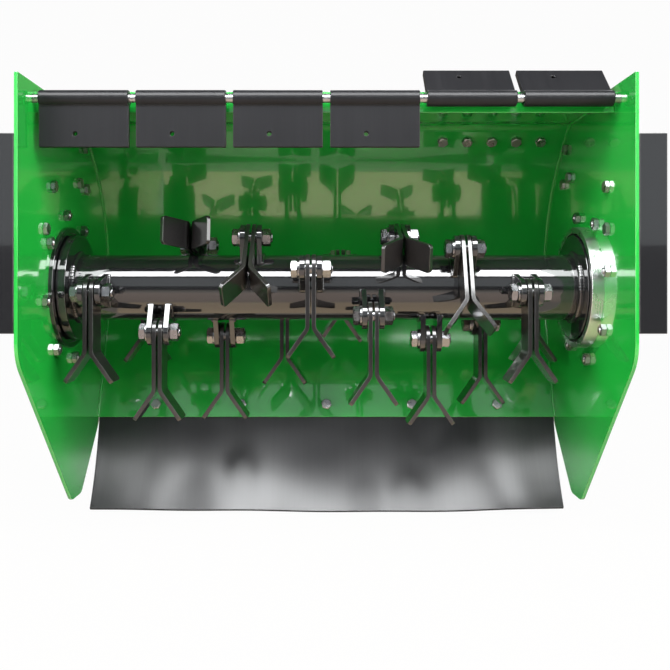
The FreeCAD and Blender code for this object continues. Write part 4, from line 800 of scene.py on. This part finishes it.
class FLAILDECK_OT_rotor(FlailDeckOperator, bpy.types.Operator):
    """Rotor tube, end discs, lugs and their welds"""

    bl_idname = "flail_deck.rotor"
    bl_label = "Rotor"

    def build(self, sizes):
        inside, bevelled = TUBE_RADIUS - TUBE_WALL, TUBE_RADIUS - TUBE_CHAMFER
        quarter, full = TUBE_HALF * 0.5, TUBE_HALF - TUBE_CHAMFER
        half = [
            [-TUBE_HALF, inside], [-TUBE_HALF, bevelled], [-full, TUBE_RADIUS],
            [-quarter, TUBE_RADIUS], [0, TUBE_RADIUS], [quarter, TUBE_RADIUS],
            [full, TUBE_RADIUS], [TUBE_HALF, bevelled], [TUBE_HALF, inside],
        ]
        mesh = surface_mesh("rotor_tube_drawn", [(lathe(half, 160) + ROTOR, True, True)])
        clean(mesh)
        piece("rotor_tube_drawn", mesh, "black_paint", "rotor", ("rotor_tube",))
        dressed("rotor_journals", "black_paint", sizes.casting_edge)
        dressed("rotor_lugs", "black_paint", sizes.plate_edge)
        self.welds(sizes.lug_weld)

    @staticmethod
    def welds(leg):
        """Beads along the outer faces of the ears, and one at each end of the tube."""

        def ring(turns):
            return np.stack([np.cos(turns), np.sin(turns)], axis=-1)

        grids = []
        spread = math.degrees(math.asin(EAR_FOOT / TUBE_RADIUS)) * 0.98
        turns = np.radians(np.linspace(-spread, spread, 60))
        for station in range(1, STATIONS + 1):
            around = ring(turns + math.radians(180 - lug_angle(station)))
            line = around * (TUBE_RADIUS + leg * 0.18)
            for side in (-1, 1):
                x = station_x(station) + side * (EAR_OUTSIDE + leg * 0.18)
                grids.append(bead(line, around, x, leg * 0.72, 0.0030, ring=7))
        around = ring(np.linspace(0, 2 * math.pi, 260))
        line = around * (TUBE_RADIUS + 0.0008)
        for side in (-1, 1):
            grids.append(bead(line, around, side * (TUBE_HALF - 0.0008), 0.0042, 0.0040))
        mesh = surface_mesh("rotor_welds", grids)
        clean(mesh)
        piece("rotor_welds", mesh, "black_paint", "rotor", sharp=80)


class FLAILDECK_OT_flails(FlailDeckOperator, bpy.types.Operator):
    """Sixteen pairs of bent blades"""

    bl_idname = "flail_deck.flails"
    bl_label = "Flails"

    def build(self, sizes):
        for station in range(1, STATIONS + 1):
            dressed(f"flail_{station:02d}", "blade_steel", sizes.blade_edge)


class FLAILDECK_OT_fasteners(FlailDeckOperator, bpy.types.Operator):
    """Bolts, nuts, washers and screws"""

    bl_idname = "flail_deck.fasteners"
    bl_label = "Fasteners"

    def build(self, sizes):
        parts = bolt(
            0.016, 0.024, 0.010, 2 * EAR_OUTSIDE, nut=0.013, spare=0.002, washer=0.003,
            washer_dia=0.030, pitch=0.002,
        )
        grids = []
        for station in range(1, STATIONS + 1):
            angle = lug_angle(station)
            y, z = PIVOT * heading(180 - angle)
            place = (station_x(station) - EAR_OUTSIDE, y, z)
            grids += placed(parts, place, (1, 0, 0), -angle - 15 * station)
        self.finish("flail_bolts_threaded", grids, "rotor", "flail_bolts", "sprayed_zinc")

        grids = []
        for hand in (1, -1):
            for number in range(FLANGE_BOLTS):
                angle = FIRST_FLANGE_BOLT[hand] + 360 / FLANGE_BOLTS * number
                place = (hand * (OUTSIDE + FLANGE), *FLANGE_PITCH * heading(angle))
                grids += placed(small_bolt(FLANGE + PLATE), place, (-hand, 0, 0), 17 * number)
        self.finish("flange_bolts_threaded", grids, "deck", "flange_bolts")

        grids = []
        for hand, places in SIDE_BOLTS.items():
            for number, (y, z) in enumerate(places):
                through = small_bolt(PLATE + BRACKET)
                grids += placed(through, (hand * HALF, y, z), (hand, 0, 0), 23 * number)
            for y in GEARBOX_BOLT_YS:
                for z in (-GEARBOX_BOLT_Z, GEARBOX_BOLT_Z):
                    place = (hand * GEARBOX_BOLT_X, y, z)
                    grids += placed(small_bolt(0.021, nut=0), place, (-hand, 0, 0), 31 * y)
        count, pitch, down = UPPER_ROW
        y, z = on_upper_panel(UPPER_PANEL - down, 0)
        for number in range(1, count + 1):
            place = (HALF - pitch * number, y, z)
            grids += placed(small_bolt(0.009), place, (0, *heading(UPPER_ANGLE)), 19 * number)
        self.finish("case_bolts_threaded", grids, "deck", "case_bolts")

        count, pitch, up = REAR_ROW
        y, z = on_rear_panel(up, 0)
        grids = []
        for number in range(count):
            place = ((number - (count - 1) / 2) * pitch, y, z)
            grids += placed(small_bolt(0.013), place, (0, *heading(-REAR_ANGLE)), 13 * number)
        self.finish("rear_flap_bolts_threaded", grids, "deck", "rear_flap_bolts")
        dressed("belt_cover_bolts", "zinc_steel", 0.0005)

    @staticmethod
    def finish(name, grids, body, node, look=None):
        mesh = surface_mesh(name, grids)
        clean(mesh)
        piece(name, mesh, "zinc_steel", body, (node,), sharp=24, look=look)


class FLAILDECK_OT_bearings(FlailDeckOperator, bpy.types.Operator):
    """Bearing housings, caps, rings and balls"""

    bl_idname = "flail_deck.bearings"
    bl_label = "Bearings"

    def build(self, sizes):
        dressed("right_bearing_housing", "aluminium", sizes.casting_edge)
        dressed("left_bearing_housing", "black_paint", sizes.casting_edge)
        dressed("bearing_caps", "aluminium", sizes.casting_edge)
        dressed("bearing_inner_rings", "bright_steel", 0.0004)
        dressed("bearing_outer_rings", "bright_steel", 0.0004)
        dressed("bearing_balls", "bright_steel", 0)


class FLAILDECK_OT_front_flaps(FlailDeckOperator, bpy.types.Operator):
    """Rubber flaps on their rod along the roof's front edge"""

    bl_idname = "flail_deck.front_flaps"
    bl_label = "Front flaps"

    def build(self, sizes):
        dressed("front_flap_rod", "zinc_steel", 0.0008)
        for number in range(1, 7):
            # the round eye shades badly when its triangles are joined
            node = f"front_flap_{number}"
            dressed(node, "flap_rubber", 0.0012, whole=False, look="front_rubber")


class FLAILDECK_OT_rear_flap(FlailDeckOperator, bpy.types.Operator):
    """Rubber flap behind the rear panel, with its clamping strip"""

    bl_idname = "flail_deck.rear_flap"
    bl_label = "Rear flap"

    def build(self, sizes):
        strip = dressed("rear_flap_strip", "black_paint", sizes.plate_edge)
        width = 2 * (HALF - 0.001)
        bent = math.radians(REAR_FLAP_TURN) * REAR_FLAP_BEND
        long = REAR_FLAP_OVERLAP + bent + REAR_FLAP_DROP
        s = np.linspace(0, long, 83)[:, None]
        v = np.linspace(-1, 1, 121)[None, :]
        free = np.clip((s - REAR_FLAP_OVERLAP) / (long - REAR_FLAP_OVERLAP), 0, 1)
        early = np.clip(free * 1.2, 0, 1)
        early = early * early * (3 - 2 * early)

        # The lean off the vertical grows all the way down, and more so towards both ends. The
        # sheet is the running sum of steps in that direction, with waves that rise towards the
        # free edge.
        lean = REAR_ANGLE + REAR_FLAP_LEAN * free**1.5
        lean = np.radians(lean + REAR_FLAP_END_LEAN * np.abs(v) ** 3 * early)
        step = long / (len(s) - 1)
        start = on_rear_panel(REAR_FLAP_OVERLAP, SHELL_WALL + REAR_FLAP_THICK / 2)
        back = np.cumsum(np.concatenate([0 * lean[:1], np.sin(lean[:-1]) * step]), axis=0)
        drop = np.cumsum(np.concatenate([0 * lean[:1], np.cos(lean[:-1]) * step]), axis=0)
        wave = np.sin(4.4 * v + 0.6) + 0.5 * np.sin(11.5 * v + 2.0)
        wave = sizes.flap_wave * free**1.5 * wave
        y = start[0] - back + wave * np.cos(lean)
        z = start[1] - drop - wave * np.sin(lean)
        x = v * width / 2 * (1 - 0.018 * free**1.4 * v**2)
        points = np.stack([x, y, z], axis=-1) + ROTOR
        mesh = surface_mesh("rear_flap_rubber", [(points, False, False)])
        flap = piece("rear_flap_rubber", mesh, "flap_rubber", "deck", ("rear_flap",))
        thicken(flap, REAR_FLAP_THICK, 0)
        round_edges(flap, 0.0012, angle=50)


class FLAILDECK_OT_drive(FlailDeckOperator, bpy.types.Operator):
    """Gearbox, cross shaft, pulleys, belts and their case"""

    bl_idname = "flail_deck.drive"
    bl_label = "Drive"

    def build(self, sizes):
        for node, finish, edge in (
            ("gearbox_case", "aluminium", 0.0030),
            ("gearbox_cover", "aluminium", 0.0016),
            ("cross_shaft_tube", "green_paint", 0.0008),
            ("cross_shaft_bush", "bronze", 0.0004),
            ("cross_shaft", "bright_steel", 0.0006),
            ("cross_gear", "bright_steel", 0),
            ("input_shaft", "bright_steel", 0),
            ("v_belts", "belt_rubber", 0.0006),
            ("driven_pulley", "cast_iron", 0.0006),
            ("drive_pulley", "cast_iron", 0.0006),
            ("idler_pulley", "cast_iron", 0.0008),
            ("idler_bracket", "black_paint", 0.0006),
            ("belt_backplate", "black_paint", 0.0006),
            ("belt_cover", "green_paint", 0.0014),
        ):
            dressed(node, finish, edge)


class FLAILDECK_OT_mountings(FlailDeckOperator, bpy.types.Operator):
    """Hitch cheeks, skids and brackets"""

    bl_idname = "flail_deck.mountings"
    bl_label = "Hitch, skids and brackets"

    def build(self, sizes):
        for node in ("hitch_cheeks", "side_skids", "outer_brackets"):
            dressed(node, "black_paint", sizes.plate_edge)


class FLAILDECK_OT_stage(bpy.types.Operator):
    """Pale floor, soft lamps and the camera before the mouth"""

    bl_idname = "flail_deck.stage"
    bl_label = "Stage"

    def execute(self, context):
        settings = context.scene.flail_stage
        self.floor()
        self.world(context.scene)
        self.lamps(settings)
        camera = bpy.data.objects.new("camera", bpy.data.cameras.new("camera"))
        context.scene.collection.objects.link(camera)
        camera.data.lens = settings.lens
        camera.data.shift_x, camera.data.shift_y = CAMERA_SHIFT
        camera.location = Vector(ROTOR) - Vector((0, settings.distance, 0))
        camera.rotation_euler = (math.radians(90), 0, 0)
        context.scene.camera = camera
        context.scene.view_settings.view_transform = "Standard"
        return {"FINISHED"}

    @staticmethod
    def shown_white(tree, shader, share, surface):
        """Links a shader to a surface, mixed with white emission where the camera sees it."""
        path = add(tree, "ShaderNodeLightPath").outputs
        seen = maths(tree, "MAXIMUM", path["Is Camera Ray"], path["Is Transmission Ray"])
        white = add(tree, "ShaderNodeEmission", {"Color": (1, 1, 1, 1), "Strength": 1.0}).outputs[0]
        both = {0: times(tree, seen, share), 1: shader, 2: white}
        tree.links.new(add(tree, "ShaderNodeMixShader", both).outputs[0], surface)

    def floor(self):
        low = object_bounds()[0].z - 0.002
        turns = np.linspace(0, math.pi / 2, 24)
        bent = [FLOOR_FAR, low] + FLOOR_BEND * np.stack([np.sin(turns), 1 - np.cos(turns)], axis=-1)
        ends = [FLOOR_NEAR, low], [FLOOR_FAR + FLOOR_BEND, FLOOR_TOP]
        line = np.concatenate([ends[:1], bent, ends[1:]])[:, None]
        x = np.array([-FLOOR_HALF, FLOOR_HALF]) + 0 * line[..., 0]
        points = np.stack([x, line[..., 0] + 0 * x, line[..., 1] + 0 * x], axis=-1)
        mesh = surface_mesh("floor", [(points, False, False)])
        mesh.shade_smooth()
        ground = bpy.data.objects.new("floor", mesh)
        bpy.context.scene.collection.objects.link(ground)
        material = bpy.data.materials.new("pale_floor")
        material.use_nodes = True
        tree = material.node_tree
        shader = tree.nodes["Principled BSDF"]
        shader.inputs["Base Color"].default_value = (0.38, 0.34, 0.30, 1)
        shader.inputs["Roughness"].default_value = 0.9
        surface = tree.nodes["Material Output"].inputs["Surface"]
        self.shown_white(tree, shader.outputs[0], 0.97, surface)
        mesh.materials.append(material)
        ground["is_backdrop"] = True

    def world(self, scene):
        world = bpy.data.worlds.new("studio")
        scene.world = world
        world.use_nodes = True
        tree = world.node_tree
        plain = tree.nodes["Background"]
        plain.inputs["Color"].default_value = (0.90, 0.95, 1.0, 1)
        plain.inputs["Strength"].default_value = 0.13
        self.shown_white(tree, plain.outputs[0], 1.0, tree.nodes["World Output"].inputs["Surface"])

    @staticmethod
    def lamps(settings):
        """Area lamps, placed and aimed about the rotor; some show in reflections only."""
        axis, white = (0, 0, 0), (1.0, 1.0, 1.0)
        glow, sky = (0.95, 0.98, 1.0), (0.90, 0.97, 1.0)
        near, far = (1.0, 0.66, 0.32), (1.0, 0.50, 0.36)
        key, front = settings.key, settings.front
        for name, place, aim, size, energy, rgb, glossy_only in (
            ("key_lamp", (0, -1.18, 1.50), axis, (2.6, 0.85), key, white, False),
            ("key_glow", (0, -1.17, 1.49), axis, (2.6, 0.85), key, glow, True),
            ("front_lamp", (0, -2.40, 0.80), axis, (3.2, 1.3), front, sky, False),
            ("left_lamp", (-2.0, -1.3, 0.6), (0.3, 0, 0), (1.4, 1.8), 58, white, False),
            ("right_lamp", (2.0, -1.3, 0.7), (-0.3, 0, 0), (1.4, 1.8), 66, white, False),
            ("back_lamp", (0.6, 2.2, 1.8), axis, (2.0, 1.2), 26, white, False),
            ("near_ground", (0, -0.135, -0.354), (0, -0.155, 1), (0.80, 0.33), 0.75, near, True),
            ("far_ground", (0, -0.73, -0.354), (0, -0.76, 1), (1.7, 0.84), 1.5, far, True),
        ):
            lamp = bpy.data.lights.new(name, "AREA")
            lamp.shape = "RECTANGLE"
            lamp.size, lamp.size_y = size
            lamp.energy = energy
            lamp.color = rgb
            made = bpy.data.objects.new(name, lamp)
            bpy.context.scene.collection.objects.link(made)
            made.location = Vector(ROTOR) + Vector(place)
            made.rotation_euler = (Vector(aim) - Vector(place)).to_track_quat("-Z", "Y").to_euler()
            made.visible_camera = False
            if glossy_only:
                made.visible_diffuse = False


STEPS = (
    "finishes", "shell", "rotor", "flails", "fasteners", "bearings", "front_flaps", "rear_flap",
    "drive", "mountings", "stage",
)


class FLAILDECK_PT_panel(bpy.types.Panel):
    """Steps and settings of the deck"""

    bl_idname = "FLAILDECK_PT_panel"
    bl_label = "Flail Deck"
    bl_space_type = "VIEW_3D"
    bl_region_type = "UI"
    bl_category = "Flail Deck"

    def draw(self, context):
        for step in STEPS:
            self.layout.operator(f"flail_deck.{step}")
        scene = context.scene
        for settings in (scene.flail_sizes, scene.flail_colours, scene.flail_stage):
            box = self.layout.box()
            for name in settings.bl_rna.properties.keys():
                if name not in ("rna_type", "name"):
                    box.prop(settings, name)


CLASSES = (
    FlailDeckSizes, FlailDeckColours, FlailDeckStage, FLAILDECK_OT_finishes, FLAILDECK_OT_shell,
    FLAILDECK_OT_rotor, FLAILDECK_OT_flails, FLAILDECK_OT_fasteners, FLAILDECK_OT_bearings,
    FLAILDECK_OT_front_flaps, FLAILDECK_OT_rear_flap, FLAILDECK_OT_drive, FLAILDECK_OT_mountings,
    FLAILDECK_OT_stage, FLAILDECK_PT_panel,
)


def register():
    for item in CLASSES:
        bpy.utils.register_class(item)
    bpy.types.Scene.flail_sizes = bpy.props.PointerProperty(type=FlailDeckSizes)
    bpy.types.Scene.flail_colours = bpy.props.PointerProperty(type=FlailDeckColours)
    bpy.types.Scene.flail_stage = bpy.props.PointerProperty(type=FlailDeckStage)


def unregister():
    del bpy.types.Scene.flail_sizes
    del bpy.types.Scene.flail_colours
    del bpy.types.Scene.flail_stage
    for item in reversed(CLASSES):
        bpy.utils.unregister_class(item)


def main():
    register()
    for step in STEPS:
        getattr(bpy.ops.flail_deck, step)()


if __name__ == "__main__":
    main()
